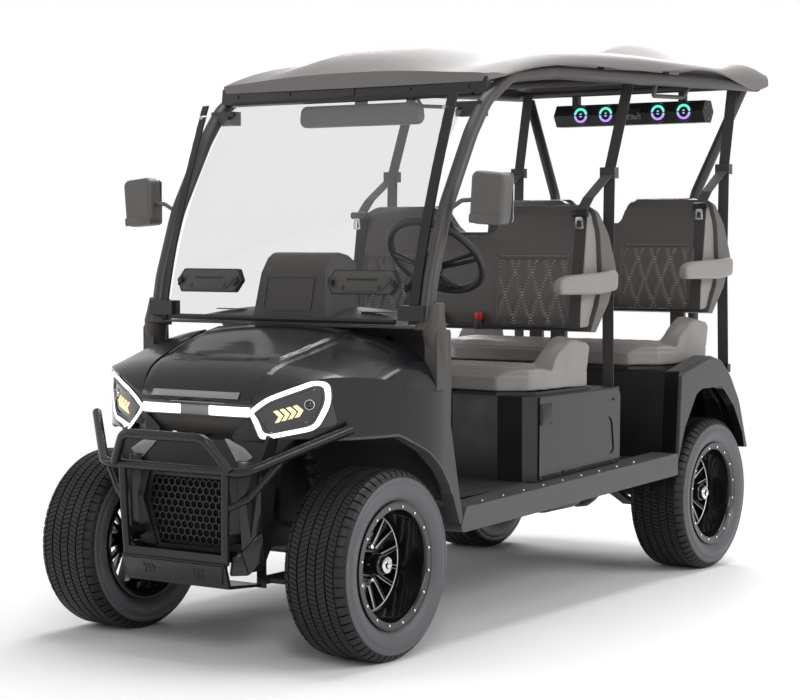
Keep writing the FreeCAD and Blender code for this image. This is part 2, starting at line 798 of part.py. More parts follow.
def canopy_frame():
    """Front posts that bend into the roof rails, joined across by bows."""
    x = post_x
    side = canopy_side()
    bows = [rod(V(-x, y, aloft(z)), V(x, y, aloft(z)), 15.0)
            for y, z in ((-330, 1818), (belt_bow_y, 1869), (rear_bow_y, 1897))]
    handle = tube([V(x - 4, 700, aloft(1872)), V(x - 30, 715, aloft(1812)),
                   V(x - 30, 965, aloft(1820)), V(x - 4, 985, aloft(1880))], 16, 18)
    return joined([side, mirrored(side)] + bows + [handle, mirrored(handle)])


def rear_struts():
    """Rear roof struts, from the tail shelf up and out to the rails."""
    head = aloft(1880)
    path = [V(325, 1457, rear_base_top), V(325, 1457, 1451), V(502, 1530, head + 5)]
    strut = tube(path, strut_diameter, [0, 160, 0])
    cut_top = block(200, 700, 1300, 1700, head, head + 200)
    return both_sides(strut.cut(cut_top).cut(canopy_frame()))


def roof_section(y, heights, inset):
    """One closed cross-section of the roof: dome, drain channel and side pontoon."""
    shares = (0.0, 0.34, 0.60, 0.72, 0.855, 0.955, 1.0)
    w = roof_half_width - inset
    points = [(share * w, aloft(z) - inset) for share, z in zip(shares, heights)]
    low = aloft(heights[-1]) - roof_side - (40.0 if inset else 0.0)
    line = [V(-x, y, z) for x, z in points[:0:-1]] + [V(x, y, z) for x, z in points]
    curve = Part.BSplineCurve()
    curve.interpolate(line)
    a, b = V(w, y, low), V(-w, y, low)
    edges = [curve.toShape(), Part.LineSegment(line[-1], a).toShape(),
             Part.LineSegment(a, b).toShape(), Part.LineSegment(b, line[0]).toShape()]
    return Part.Wire(edges)


def roof_plan(inset):
    """Plan outline of the roof, with rounded front and rear corners."""
    w = roof_half_width - inset
    front, rear = roof_front_y + inset, roof_rear_y - inset
    outline = [(-w + 40, front), (-300, front - 6), (0, front - 8), (300, front - 6),
               (w - 40, front), (w, front + 60), (w, rear - 40), (w - 30, rear), (-w + 30, rear),
               (-w, rear - 40), (-w, front + 60)]
    return prism_z(outline, 1500, aloft(2100), [30, 0, 0, 0, 30, 40, 20, 20, 20, 20, 40])


def roof_volume(inset):
    """Roof as a solid, drawn in by its wall when inset."""
    wires = [roof_section(y, heights, inset) for y, heights in roof_stations]
    return Part.makeLoft(wires, True, False).common(roof_plan(inset))


def roof_panel():
    """Moulded roof shell with pads that stand on the rails."""
    shell = roof_volume(0.0).cut(roof_volume(roof_wall))
    pads = []
    inside = roof_volume(1.0)
    for y in (-120, 300, 800, 1300):
        rail = aloft(1846 + (y + 100) * 0.032)
        pad = block(post_x - 14, post_x + 14, y - 40, y + 40, rail, aloft(2050))
        under = block(post_x - 14, post_x + 14, y - 40, y + 40, rail, aloft(1925))
        pads.append(largest(joined([pad.common(inside), under.cut(roof_volume(0.0))])
                            .cut(canopy_side())))
    return joined([largest(shell)] + pads + [mirrored(pad) for pad in pads])


def roof_header():
    """Header strip between the posts, under the front of the roof."""
    outline = [(-498, aloft(1806)), (-480, aloft(1806)), (-468, aloft(1752)),
               (-486, aloft(1742)), (-506, aloft(1747))]
    strip = prism_x(outline, -post_x, post_x, [0, 0, 8, 6, 6])
    return largest(strip.cut(canopy_frame()).cut(roof_panel()))


def pane_line(forward):
    """Side line of the windscreen, bent as the posts are, moved forward by a distance."""
    line = offset_line([(y, aloft(z)) for y, z in post_line[:5]], pane_forward + forward)
    return [V(0, y, z) for y, z in line]


def pane_sheet(near, far, x0, x1):
    """A sheet bent as the windscreen is, between two distances in front of its inner face."""
    curves = []
    for distance in (near, far):
        curve = Part.BSplineCurve()
        curve.interpolate(pane_line(distance))
        curves.append(curve)
    inner, outer = curves
    edges = [inner.toShape(), Part.LineSegment(inner.EndPoint, outer.EndPoint).toShape(),
             outer.toShape(), Part.LineSegment(outer.StartPoint, inner.StartPoint).toShape()]
    sheet = Part.Face(Part.Wire(Part.__sortEdges__(edges))).extrude(V(x1 - x0, 0, 0))
    sheet.translate(V(x0, 0, 0))
    return sheet


def windscreen():
    """Bent clear pane between the posts, from the dash to the header."""
    outline = [(-482, 1010), (482, 1010), (488, aloft(1740)), (-488, aloft(1740))]
    zone = prism_y(outline, -1000, -300, 26)
    return largest(pane_sheet(0.0, glass_thick, -500, 500).common(zone))


def screen_fittings():
    """Clamps that hold the pane to the posts."""
    pieces = []
    for y, z in ((-860, 1048), (-528, aloft(1700))):
        pieces.append(block(462, post_x + 10, y - 22, y + 22, z - 24, z + 24))
    cut = []
    for piece in pieces:
        cut.append(piece.cut(windscreen()).cut(canopy_side()).cut(dash_cowl()))
    solids = [largest(piece) for piece in cut]
    return Part.makeCompound(solids + [mirrored(solid) for solid in solids])


def screen_vents():
    """Two vent plates with pointed ends, on the front of the pane."""
    z, tall = 1142.0, 78.0
    outline = [(172, z), (196, z + tall / 2), (432, z + tall / 2), (456, z), (432, z - tall / 2),
               (196, z - tall / 2)]
    zone = prism_y(outline, -1000, -700, 8)
    plate = pane_sheet(glass_thick + running_gap / 2, glass_thick + 12, -490, 490)
    return both_sides(largest(plate.common(zone)))


def mirrors():
    """Two side mirrors on stalks, and a wide mirror under the roof front."""
    case = prism_y([(650, 1328), (770, 1320), (784, 1482), (660, 1494)], -768, -704, 24)
    case = case.makeFillet(14.0, [edge for edge in case.Edges if is_flat(edge, "y")])
    stalk = tube([V(post_x + 18, -738, 1376), V(610, -742, 1400), V(700, -735, 1405)], 14, 30)
    side = joined([case, stalk]).cut(canopy_side())
    wide = prism_y([(-255, aloft(1664)), (255, aloft(1664)), (246, aloft(1738)),
                    (-246, aloft(1738))], -446, -408, 26)
    wide = wide.makeFillet(9.0, [edge for edge in wide.Edges if is_flat(edge, "y")])
    stem = block(-20, 20, -436, -416, aloft(1730), aloft(1960))
    centre = largest(joined([wide, stem]).cut(roof_panel()))
    return Part.makeCompound([side, mirrored(side), centre])


def is_flat(edge, axis):
    """Whether an edge lies in one plane square to an axis, so that it can be rounded."""
    box = edge.BoundBox
    span = {"x": box.XLength, "y": box.YLength, "z": box.ZLength}
    return span[axis] < 0.01


def seat_box_volume(inset):
    """Front seat box as a solid: leaning front, wings in plan and chamfered corners."""
    y0, y1 = seat_box_front + inset, seat_box_front + seat_box_depth - inset
    half = seat_half_width + seat_box_margin - inset
    top = seat_box_top - inset
    low = floor_top - (1.0 if inset else 0.0)
    side = prism_x([(y0 - 20, low), (y1, low), (y1 + 6, top), (y0 - 20, top)], -half, half)
    right = [(150, seat_box_front + 92 + inset), (392, y0 + 2), (half - 34, y0 + 2),
             (half, y0 + 46)]
    plan = right + [(half, y1 + 6), (-half, y1 + 6)] + [(-x, y) for x, y in right[::-1]]
    return side.common(prism_z(plan, low - 10, top + 10))


# Seats

def front_seat_box():
    """Hollow box under the front seat, open at the top over the battery."""
    mouth = block(-seat_half_width + 75, seat_half_width - 75, seat_box_front + 110,
                  seat_box_front + 440, 600, 900)
    shell = seat_box_volume(0.0).cut(seat_box_volume(panel))
    return largest(shell.cut(mouth).cut(sills()))


def seat_box_sides():
    """Painted side covers of the front seat box, each with a pressed scoop."""
    half = seat_half_width + seat_box_margin
    y0, y1 = seat_box_front, seat_box_front + seat_box_depth
    cover = prism_x([(y0 + 48, floor_top + 4), (y1 - 2, floor_top + 22), (y1 + 2, seat_box_top - 4),
                     (y0 + 52, seat_box_top - 4)], half, half + side_cover, [12, 12, 30, 12])
    scoop = prism_x([(y0 + 110, 560), (y1 - 40, 500), (y1 - 60, 640), (y0 + 300, 655)],
                    half + 3, half + side_cover + 1, [18, 24, 40, 60])
    return both_sides(largest(cover.cut(scoop).cut(sills())))


def seat_cushion(dy, dz):
    """Seat cushion with raised sides, as a plain closed form."""
    w = seat_half_width
    plan = [(120 - w, -200), (w - 120, -200), (w - 20, -130), (w, -40), (w, 268), (-w, 268),
            (-w, -40), (20 - w, -130)]
    bottom = seat_box_top + lid_gap + pan_thick + lid_gap
    flat = prism_x([(-200, bottom), (268, bottom), (268, 858), (40, 846), (-160, 838),
                    (-200, 812)], -w, w, [8, 12, 30, 80, 25, 15])
    bolster = prism_x([(-60, bottom), (268, bottom), (268, 905), (230, 918), (137, 892),
                       (-60, 828)], w - 92, w, [10, 12, 20, 30, 80, 20])
    raw = joined([flat, bolster, mirrored(bolster)])
    body = raw.common(prism_z(plan, 700, 1000, 24))
    body.translate(V(0, dy, dz))
    return body


def back_outline():
    """Front view of a seat back: two humps with a lower middle and drawn-in lower corners."""
    w = seat_half_width
    half = [(w - 46, back_bottom - 30), (w - 8, 1050), (w, 1165), (w - 8, 1300), (w - 28, 1376),
            (w - 70, 1408), (190, 1417), (146, 1398), (116, 1328), (94, 1305)]
    outline = half + [(-x, z) for x, z in half[::-1]]
    radii = [0, 60, 80, 60, 30, 60, 40, 20, 20, 20]
    return prism_y(outline, 100, 500, radii + radii[::-1])


def seat_pan(dy, dz):
    """Moulded pan under a cushion, hinged at its rear edge."""
    z = seat_box_top + lid_gap
    edge = seat_half_width - 12
    right = [(edge - 118, -175), (edge - 8, -100), (edge, -40), (edge, lid_hinge_y)]
    pan = prism_z(right + [(-x, y) for x, y in right[::-1]], z, z + pan_thick)
    pan.translate(V(0, dy, dz))
    return pan


def seat_back(dy, dz):
    """Padded seat back, leaning with its plain upper part."""
    z0 = back_bottom
    profile = [(205, z0), (212, 1080), (238, 1250), (262, 1380), (292, 1420), (330, 1404),
               (330, 1150), (318, z0)]
    pad = prism_x(profile, -seat_half_width, seat_half_width, [18, 0, 0, 16, 14, 10, 60, 12])
    pad = largest(pad.common(back_outline()))
    pad.translate(V(0, dy, dz))
    return pad


def seat_shell(dy, dz, base_top):
    """Rear shell of a seat back, standing on two brackets."""
    z0 = back_bottom
    base = base_top - dz
    half = seat_half_width
    profile = [(318.3, z0), (330.3, 1150), (330.3, 1403), (352, 1380), (400, 1280),
               (440, 1165), (356, z0 - 6)]
    shell = prism_x(profile, -half, half, [0, 60, 0, 20, 60, 40, 8]).common(back_outline())
    legs = [block(s * 330 - 30, s * 330 + 30, 345, 365, base, z0 + 60)
            for s in (-1, 1)]
    body = joined([largest(shell)] + legs)
    body.translate(V(0, dy, dz))
    return body


def armrests(dy, dz):
    """Armrests that reach forward from both sides of a seat back."""
    outline = [(-10, 1074), (-10, 1122), (500, 1160), (515, 1120), (430, 1090), (200, 1072)]
    pad = prism_x(outline, seat_half_width - 14, seat_half_width + 46, [20, 14, 14, 20, 40, 60])
    pad = largest(pad.cut(seat_back(0, 0)).cut(seat_shell(0, 0, seat_box_top)))
    arm = largest(pad.cut(block(0, seat_half_width, -60, 200, 1000, 1200)))
    arm.translate(V(0, dy, dz))
    return [arm, mirrored(arm)]


def seat_belts(dy, dz, bow, foot, base, base_top):
    """Webbing of both outer seats: over the shoulder to the front, and down behind."""
    x0, x1 = belt_x - belt_width / 2, belt_x + belt_width / 2
    front = [(452, 1520), (300, 1428), (256, 1385), (235.5, 1250), (209.5, 1080), (202.5, 962)]
    line = [(bow[0] - 17, aloft(bow[1]))] + [(y + dy, z + dz) for y, z in front]
    over = sheet_x(line, 2.5, x0, x1)
    down = sheet_x([(455 + dy, 1520 + dz), (446 + dy, 1165 + dz), foot], 2.5, x0, x1)
    guide = block(x0 - 8, x1 + 8, 438 + dy, 470 + dy, 1500 + dz, 1540 + dz)
    tongue = block(x0 - 3, x1 + 3, 226 + dy, 236 + dy, 1325 + dz, 1362 + dz)
    web = joined([over, down, guide, tongue]).cut(seat_back(dy, dz)).cut(base)
    web = largest(web.cut(seat_shell(dy, dz, base_top)).cut(canopy_frame()))
    return [web, mirrored(web)]


def belt_buckles(dy, dz):
    """Two buckles on short stalks at the foot of a seat back."""
    buckle = block(70, 104, 176, 216, 952, 1014)
    buckle.translate(V(0, dy, dz))
    buckle = largest(buckle.cut(seat_back(dy, dz)))
    return [buckle, mirrored(buckle)]


# Rear body

def rear_profile(inset):
    """Side outline of a rear fender."""
    i = inset
    low = floor_top - (20 if i else 0)
    return [(776 + i, low), (800 + i, 778 - i), (1053, 832 - i), (1157 - 0.4 * i, 808 - i),
            (1239 - 0.7 * i, 745 - 0.7 * i), (1321 - i, 641 - 0.4 * i), (1398 - i, low)]


def base_profile(inset):
    """Side outline of the rear seat base between the fenders."""
    i = inset
    low = floor_top - (20 if i else 0)
    return [(776 + i, low), (800 + i, rear_base_top - i), (1240 - i, rear_base_top - i),
            (1321 - i, 641 - 0.4 * i), (1398 - i, low)]


def tail_profile(inset):
    """Side outline of the tail shelf behind the rear seat."""
    i = inset
    low = floor_top - (20 if i else 0)
    return [(1200, low), (1200, rear_base_top - i), (tail_y - i, rear_base_top - i),
            (tail_y - 14 - i, low)]


def rear_volume(inset):
    """Rear seat base and tail as a solid, drawn in by the panel thickness when inset."""
    half = fender_inner - inset
    return joined([prism_x(base_profile(inset), -half, half),
                   prism_x(tail_profile(inset), -tail_half + inset, tail_half - inset)])


def rear_arch(x0, x1, share=1.0):
    """Opening over a rear wheel, drawn in towards its middle by a share."""
    outline = [(772, 440), (787, 476), (832, 573), (929, 695), (979, 714), (1159, 712),
               (1268, 627), (1352, 511), (1374, 440)]
    middle = (1073, 440)
    drawn = [(middle[0] + (y - middle[0]) * share, middle[1] + (z - middle[1]) * share)
             for y, z in outline]
    return prism_x(drawn, x0, x1, [0, 0, 60, 50, 60, 60, 80, 0, 0])


def rear_anchor():
    """Stubs on the tail's sides that the rear belts are bolted to."""
    x0, x1 = tail_half - 1, belt_x + belt_width / 2 + 4
    return both_sides(block(x0, x1, rear_step + 450, rear_step + 477, rear_base_top - 40,
                            rear_base_top - 6))


def rear_body():
    """Rear shell: kick panel, seat base and tail shelf, hollow below, with belt stubs."""
    body = rear_volume(0.0).cut(rear_volume(panel))
    for side in (-1, 1):
        x0, x1 = sorted((side * 360, side * 700))
        body = body.cut(rear_arch(x0, x1))
    mouth = block(-340, 340, 880, 1170, 700, 900)
    body = largest(body.cut(mouth).cut(sills()))
    return joined([body] + rear_anchor().Solids)


def fender_volume(inset):
    """Left rear fender as a solid, drawn in by the panel thickness when inset."""
    outer = half_body - 2 - inset
    return prism_x(rear_profile(inset), fender_inner + inset, outer,
                   0 if inset else [0, 20, 90, 80, 90, 100, 0])


def rear_fenders():
    """Painted rear fenders over the wheels, hollow and open below."""
    shell = fender_volume(0.0)
    edges = [edge for edge in shell.Edges if is_flat(edge, "x")
             and edge.BoundBox.XMin > half_body - 10 and edge.BoundBox.ZMax > 500]
    shell = shell.makeFillet(fender_round, edges)
    shell = shell.cut(fender_volume(panel)).cut(rear_arch(fender_inner - 10, half_body + 10))
    lip = rear_arch(half_body - 2 - flare_width, half_body - 2)
    lip = lip.cut(rear_arch(half_body - 60, half_body + 10, flare_share))
    lip = lip.cut(block(0, 700, 700, 1500, 300, floor_top))
    return both_sides(largest(joined([largest(shell), largest(lip)]).cut(sills())))


def rear_bumper():
    """Rear bumper bar with a tow plate bored for a pin."""
    bar = block(-430, 430, tail_y - 16, tail_y + 24, 410, 470)
    plate = prism_z([(-60, tail_y - 40), (60, tail_y - 40), (45, tail_y + 78),
                     (-45, tail_y + 78)], 388, 400, [0, 0, 22, 22])
    bracket = block(-60, 60, tail_y - 40, tail_y + 10, 398, 420)
    hole = Part.makeCylinder(tow_hole / 2, 60, V(0, tail_y + 50, 370), V(0, 0, 1))
    stays = [block(s * rail_centre - 20, s * rail_centre + 20, rail_rear, tail_y - 10,
                   rail_bottom + 10, rail_top + 8) for s in (-1, 1)]
    return joined([bar, plate, bracket] + stays).cut(hole).cut(rear_body())


def tail_lamps():
    """Tail lamps on the rear wall."""
    lamp = block(250, 380, tail_y - 30, tail_y + 8, 560, 640)
    return both_sides(largest(lamp.cut(rear_volume(0.0))))


def soundbar():
    """Speaker bar under the rear bow, with hexagonal ends."""
    centre_y, centre_z, length = 1530.0, aloft(1802.0), 700.0
    points = []
    for k in range(6):
        a = math.radians(60 * k)
        points.append(V(-length / 2, centre_y + 52 * math.cos(a), centre_z + 52 * math.sin(a)))
    bar = Part.Face(Part.makePolygon(points + [points[0]])).extrude(V(length, 0, 0))
    hangers = [prism_x([(rear_bow_y - 12, aloft(1897)), (rear_bow_y - 12, centre_z + 30),
                        (rear_bow_y + 12, centre_z + 30), (rear_bow_y + 12, aloft(1897))],
                       s * 250 - 15, s * 250 + 15) for s in (-1, 1)]
    return largest(joined([bar] + hangers).cut(canopy_frame()))


def write(name, shape):
    """Move a piece to the part's own origin and save it."""
    piece = shape.copy()
    piece.translate(V(0, -origin_y, 0))
    solids = piece.Solids
    print(name, len(solids), "valid" if piece.isValid() else "INVALID",
          round(sum(solid.Volume for solid in solids) / 1e6, 3))
    piece.exportStep(f"parts/{name}.step")


def main():
    """Build every piece and write one STEP file for each."""
    os.makedirs("parts", exist_ok=True)
    pieces = {
        "chassis_frame": chassis_frame(),
        "rear_axle": rear_axle(),
        "motor_block": motor_block(),
        "battery_block": battery_block(),
        "rear_suspension": rear_suspension(),
        "front_arms": suspension_arms(),
        "front_dampers": front_dampers(),
        "steering_rack": steering_rack(),
        "tie_rods": tie_rods(),
        "knuckle_left": knuckle(),
        "knuckle_right": mirrored(knuckle()),
        "steering_wheel": steering_wheel(),
        "steering_column": steering_column(),
        "pedals": pedals(),
        "floor_pan": floor_pan(),
        "sills": sills(),
        "front_cowl": front_cowl(),
        "hood_panel": hood_panel(),
        "front_lamps": front_lamps(),
        "front_flares": front_flares(),
        "front_fascia": front_fascia(),
        "front_grille": front_grille(),
        "brush_guard": brush_guard(),
        "dash_cowl": dash_cowl(),
        "display_pod": display_pod(),
        "canopy_frame": canopy_frame(),
        "rear_struts": rear_struts(),
        "roof_panel": roof_panel(),
        "roof_header": roof_header(),
        "windscreen": windscreen(),
        "screen_fittings": screen_fittings(),
        "screen_vents": screen_vents(),
        "mirrors": mirrors(),
        "front_seat_box": front_seat_box(),
        "seat_box_sides": seat_box_sides(),
        "front_cushion": seat_cushion(0, 0),
        "front_seat_pan": seat_pan(0, 0),
        "front_seat_back": seat_back(0, 0),
        "front_seat_shell": seat_shell(0, 0, seat_box_top),
        "rear_cushion": seat_cushion(rear_step, rear_rise),
        "rear_seat_pan": seat_pan(rear_step, rear_rise),
        "rear_seat_back": seat_back(rear_step, rear_rise),
        "rear_seat_shell": seat_shell(rear_step, rear_rise, rear_base_top),
        "armrests": Part.makeCompound(armrests(0, 0) + armrests(rear_step, rear_rise)),
        "seat_belts": Part.makeCompound(
            seat_belts(0, 0, (belt_bow_y, 1869), (454.5, 690), front_seat_box(), seat_box_top)
            + seat_belts(rear_step, rear_rise, (rear_bow_y, 1896),
                         (rear_step + 462, rear_base_top - 12), rear_anchor(), rear_base_top)),
        "belt_buckles": Part.makeCompound(belt_buckles(0, 0) + belt_buckles(rear_step, rear_rise)),
        "rear_body": rear_body(),
        "rear_fenders": rear_fenders(),
        "rear_bumper": rear_bumper(),
        "tail_lamps": tail_lamps(),
        "soundbar": soundbar(),
    }
    corners = {"front_left": (1, -1), "front_right": (-1, -1), "rear_left": (1, 1),
               "rear_right": (-1, 1)}
    for name, (side, end) in corners.items():
        pieces["tyre_" + name] = placed_wheel_piece(tyre(), side, end)
        pieces["rim_" + name] = placed_wheel_piece(rim(), side, end)
    for name, shape in pieces.items():
        write(name, shape)


main()
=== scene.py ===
"""Dressed model of a four-seat golf cart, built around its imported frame.

The frame gives every hard piece at its real size and place. This script gives those pieces
their finishes, replaces the tyres, rims, cushions and other plain solids by detailed meshes,
and adds the trim, stitching, webbing, fasteners and lamp insides. The cart faces -Y, its left
side is +X and +Z is up. Forms are drawn in millimetres, and Assembly.put turns them into the
frame's metres.
"""
import bmesh
import bpy
import logging
import math
from dataclasses import dataclass
from enum import Enum
from mathutils import Matrix, Vector
from mathutils.bvhtree import BVHTree


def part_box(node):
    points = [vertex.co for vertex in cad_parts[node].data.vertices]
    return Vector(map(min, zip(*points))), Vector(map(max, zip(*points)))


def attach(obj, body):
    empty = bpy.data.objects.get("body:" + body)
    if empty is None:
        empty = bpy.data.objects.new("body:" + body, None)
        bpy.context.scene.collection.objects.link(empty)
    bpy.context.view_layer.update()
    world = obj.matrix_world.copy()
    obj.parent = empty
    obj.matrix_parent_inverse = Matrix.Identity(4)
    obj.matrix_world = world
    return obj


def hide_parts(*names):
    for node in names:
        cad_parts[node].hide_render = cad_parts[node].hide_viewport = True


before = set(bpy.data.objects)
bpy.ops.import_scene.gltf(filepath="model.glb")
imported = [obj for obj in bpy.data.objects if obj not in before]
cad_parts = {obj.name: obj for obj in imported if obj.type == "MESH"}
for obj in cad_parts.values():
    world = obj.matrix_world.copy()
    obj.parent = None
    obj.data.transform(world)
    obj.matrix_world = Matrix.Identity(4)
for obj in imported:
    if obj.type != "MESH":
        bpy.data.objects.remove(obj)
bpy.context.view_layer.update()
LOG = logging.getLogger("cart")
MM = 0.001
Form, Vertex, Face = bmesh.types.BMesh, bmesh.types.BMVert, bmesh.types.BMFace
Piece, Material = bpy.types.Object, bpy.types.Material
Tree, Socket = bpy.types.NodeTree, bpy.types.NodeSocket
FRONT_AXLE, REAR_AXLE = (sum(corner[1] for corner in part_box(rim)) / 2
                         for rim in ("rim_front_left", "rim_rear_left"))
FRAME_SHIFT = (FRONT_AXLE + REAR_AXLE) / 2


def at(x_mm: float, y_mm: float, z_mm: float) -> Vector:
    """A point of the cart's drawing, whose y = 0 lies midway between the axles.

    Args:
        x_mm: Distance to the cart's left.
        y_mm: Distance behind the middle of the wheelbase.
        z_mm: Height over the ground.

    Returns:
        The point in metres in the frame, whose origin is under the middle of the cart.
    """
    return Vector((x_mm * MM, y_mm * MM + FRAME_SHIFT, z_mm * MM))


def new_object(name: str, data: bpy.types.ID) -> Piece:
    """Add an object with its data to the scene."""
    made = bpy.data.objects.new(name, data)
    bpy.context.collection.objects.link(made)
    return made


def mesh_of(form: Form, name: str) -> bpy.types.Mesh:
    """Turn a drawn form into a mesh, and free the form."""
    mesh = bpy.data.meshes.new(name)
    form.to_mesh(mesh)
    form.free()
    return mesh


# Finishes

def srgb(text: str) -> tuple:
    """Linear red, green, blue and alpha of an sRGB hex colour.

    Args:
        text: A colour such as "#3b3b40".

    Returns:
        Four numbers from 0 to 1.
    """
    parts = [int(text[i:i + 2], 16) / 255 for i in (1, 3, 5)]
    linear = [p / 12.92 if p <= 0.04045 else ((p + 0.055) / 1.055) ** 2.4 for p in parts]
    return (*linear, 1.0)


def add_node(tree: Tree, kind: str, inputs: dict, **settings) -> bpy.types.Node:
    """Add one node to a tree, with its settings and its inputs.

    Args:
        tree: The material's or world's node tree.
        kind: The node's type name.
        inputs: Values or sockets by input name or index. A socket is linked, a value is set.
        settings: Properties of the node itself.

    Returns:
        The new node.
    """
    node = tree.nodes.new(kind)
    for name, value in settings.items():
        setattr(node, name, value)
    for key, value in inputs.items():
        if isinstance(value, Socket):
            tree.links.new(value, node.inputs[key])
        else:
            node.inputs[key].default_value = value
    return node


def combined(tree: Tree, operation: str, first, second) -> Socket:
    """Two values, each a socket or a number, joined by a math node."""
    return add_node(tree, "ShaderNodeMath", {0: first, 1: second}, operation=operation).outputs[0]


def new_material(name: str) -> Material:
    """A material whose node tree is still empty."""
    material = bpy.data.materials.new(name)
    material.use_nodes = True
    material.node_tree.nodes.clear()
    return material


class Relief(Enum):
    """How the fine relief of a surface was made."""

    SMOOTH = "smooth"
    HIDE = "hide"
    SPRAYED = "sprayed"
    CAST = "cast"
    TURNED = "turned"
    RIBBED = "ribbed"
    WOVEN = "woven"


@dataclass(frozen=True)
class Finish:
    """A solid finish over one shader: a colour with spots, a gloss that varies and a relief."""

    name: str
    colour: str
    spots: str
    roughness: float
    relief: Relief = Relief.SMOOTH
    grain_mm: float = 1.0
    depth_mm: float = 0.05
    metallic: float = 0.0
    coat: float = 0.0
    sheen: float = 0.0
    spot_mm: float = 120.0
    spot_share: float = 0.35
    smear: float = 0.06
    specular: float = 0.5

    def wave(self, tree: Tree, coords: Socket,
             distortion: float = 0.0, **settings) -> Socket:
        """Bands or rings, about one to each grain.

        Args:
            tree: The material's node tree.
            coords: The surface point in metres.
            distortion: How far the bands wander.
            settings: The wave's kind and direction.

        Returns:
            A socket from 0 to 1.
        """
        scale = 1.0 / (self.grain_mm * MM)
        return add_node(tree, "ShaderNodeTexWave",
                        {"Vector": coords, "Scale": scale / 6, "Distortion": distortion},
                        **settings).outputs["Fac"]

    def height(self, tree: Tree, coords: Socket):
        """Height pattern of the fine relief.

        Args:
            tree: The material's node tree.
            coords: The surface point in metres.

        Returns:
            A socket from 0 to 1, or None for a smooth surface.
        """
        scale = 1.0 / (self.grain_mm * MM)
        if self.relief is Relief.HIDE:
            cells = add_node(tree, "ShaderNodeTexVoronoi", {"Vector": coords, "Scale": scale},
                             feature="DISTANCE_TO_EDGE")
            return add_node(tree, "ShaderNodeMapRange",
                            {0: cells.outputs["Distance"], 1: 0.0, 2: 0.22}).outputs[0]
        if self.relief in (Relief.SPRAYED, Relief.CAST):
            detail, rough = (2.0, 0.5) if self.relief is Relief.SPRAYED else (5.0, 0.65)
            return add_node(tree, "ShaderNodeTexNoise",
                            {"Vector": coords, "Scale": scale, "Detail": detail,
                             "Roughness": rough}).outputs["Fac"]
        if self.relief is Relief.TURNED:
            return self.wave(tree, coords, 1.5, wave_type="RINGS", rings_direction="X")
        if self.relief is Relief.RIBBED:
            return self.wave(tree, coords, bands_direction="X")
        if self.relief is Relief.WOVEN:
            return combined(tree, "MULTIPLY", self.wave(tree, coords, bands_direction="DIAGONAL"),
                            self.wave(tree, coords, bands_direction="Z"))
        return None

    def build(self) -> Material:
        """Make the material with its nodes.

        Returns:
            The new material.
        """
        material = new_material(self.name)
        tree = material.node_tree
        coords = add_node(tree, "ShaderNodeTexCoord", {}).outputs["Object"]
        cloud = add_node(tree, "ShaderNodeTexNoise",
                         {"Vector": coords, "Scale": 1.0 / (self.spot_mm * MM), "Detail": 4.0,
                          "Roughness": 0.6}).outputs["Fac"]
        share = add_node(tree, "ShaderNodeMapRange",
                         {0: cloud, 1: 0.42, 2: 0.78, 3: 0.0, 4: self.spot_share}).outputs[0]
        tint = add_node(tree, "ShaderNodeMix",
                        {0: share, 6: srgb(self.colour), 7: srgb(self.spots)}, data_type="RGBA")
        gloss = add_node(tree, "ShaderNodeMapRange",
                         {0: cloud, 1: 0.3, 2: 0.7, 3: max(0.02, self.roughness - self.smear),
                          4: min(1.0, self.roughness + self.smear)}).outputs[0]
        inputs = {"Base Color": tint.outputs[2], "Roughness": gloss, "Metallic": self.metallic,
                  "Coat Weight": self.coat, "Coat Roughness": 0.06, "Sheen Weight": self.sheen,
                  "Sheen Roughness": 0.5}
        if self.metallic < 0.5:
            inputs["Specular IOR Level"] = self.specular
        height = self.height(tree, coords)
        if height is not None:
            bump = add_node(tree, "ShaderNodeBump",
                            {"Height": height, "Distance": self.depth_mm * MM, "Strength": 1.0})
            inputs["Normal"] = bump.outputs["Normal"]
        shader = add_node(tree, "ShaderNodeBsdfPrincipled", inputs)
        add_node(tree, "ShaderNodeOutputMaterial", {"Surface": shader.outputs[0]})
        return material


@dataclass(frozen=True)
class MetallicPaint(Finish):
    """Base coat with fine aluminium flakes under a clear coat."""

    flake_mm: float = 1.6
    flake: str = "#303137"

    def build(self) -> Material:
        """Make the paint: flakes tint the base coat, and the clear coat stays smooth."""
        material = super().build()
        tree = material.node_tree
        shader = next(n for n in tree.nodes if n.type == "BSDF_PRINCIPLED")
        base = shader.inputs["Base Color"].links[0].from_socket
        coords = next(n for n in tree.nodes if n.type == "TEX_COORD").outputs["Object"]
        cells = add_node(tree, "ShaderNodeTexVoronoi",
                         {"Vector": coords, "Scale": 1.0 / (self.flake_mm * MM)})
        share = add_node(tree, "ShaderNodeMapRange",
                         {0: cells.outputs["Distance"], 1: 0.0, 2: 0.5, 3: 0.5, 4: 0.0}).outputs[0]
        tint = add_node(tree, "ShaderNodeMix", {0: share, 6: base, 7: srgb(self.flake)},
                        data_type="RGBA")
        tree.links.new(tint.outputs[2], shader.inputs["Base Color"])
        return material


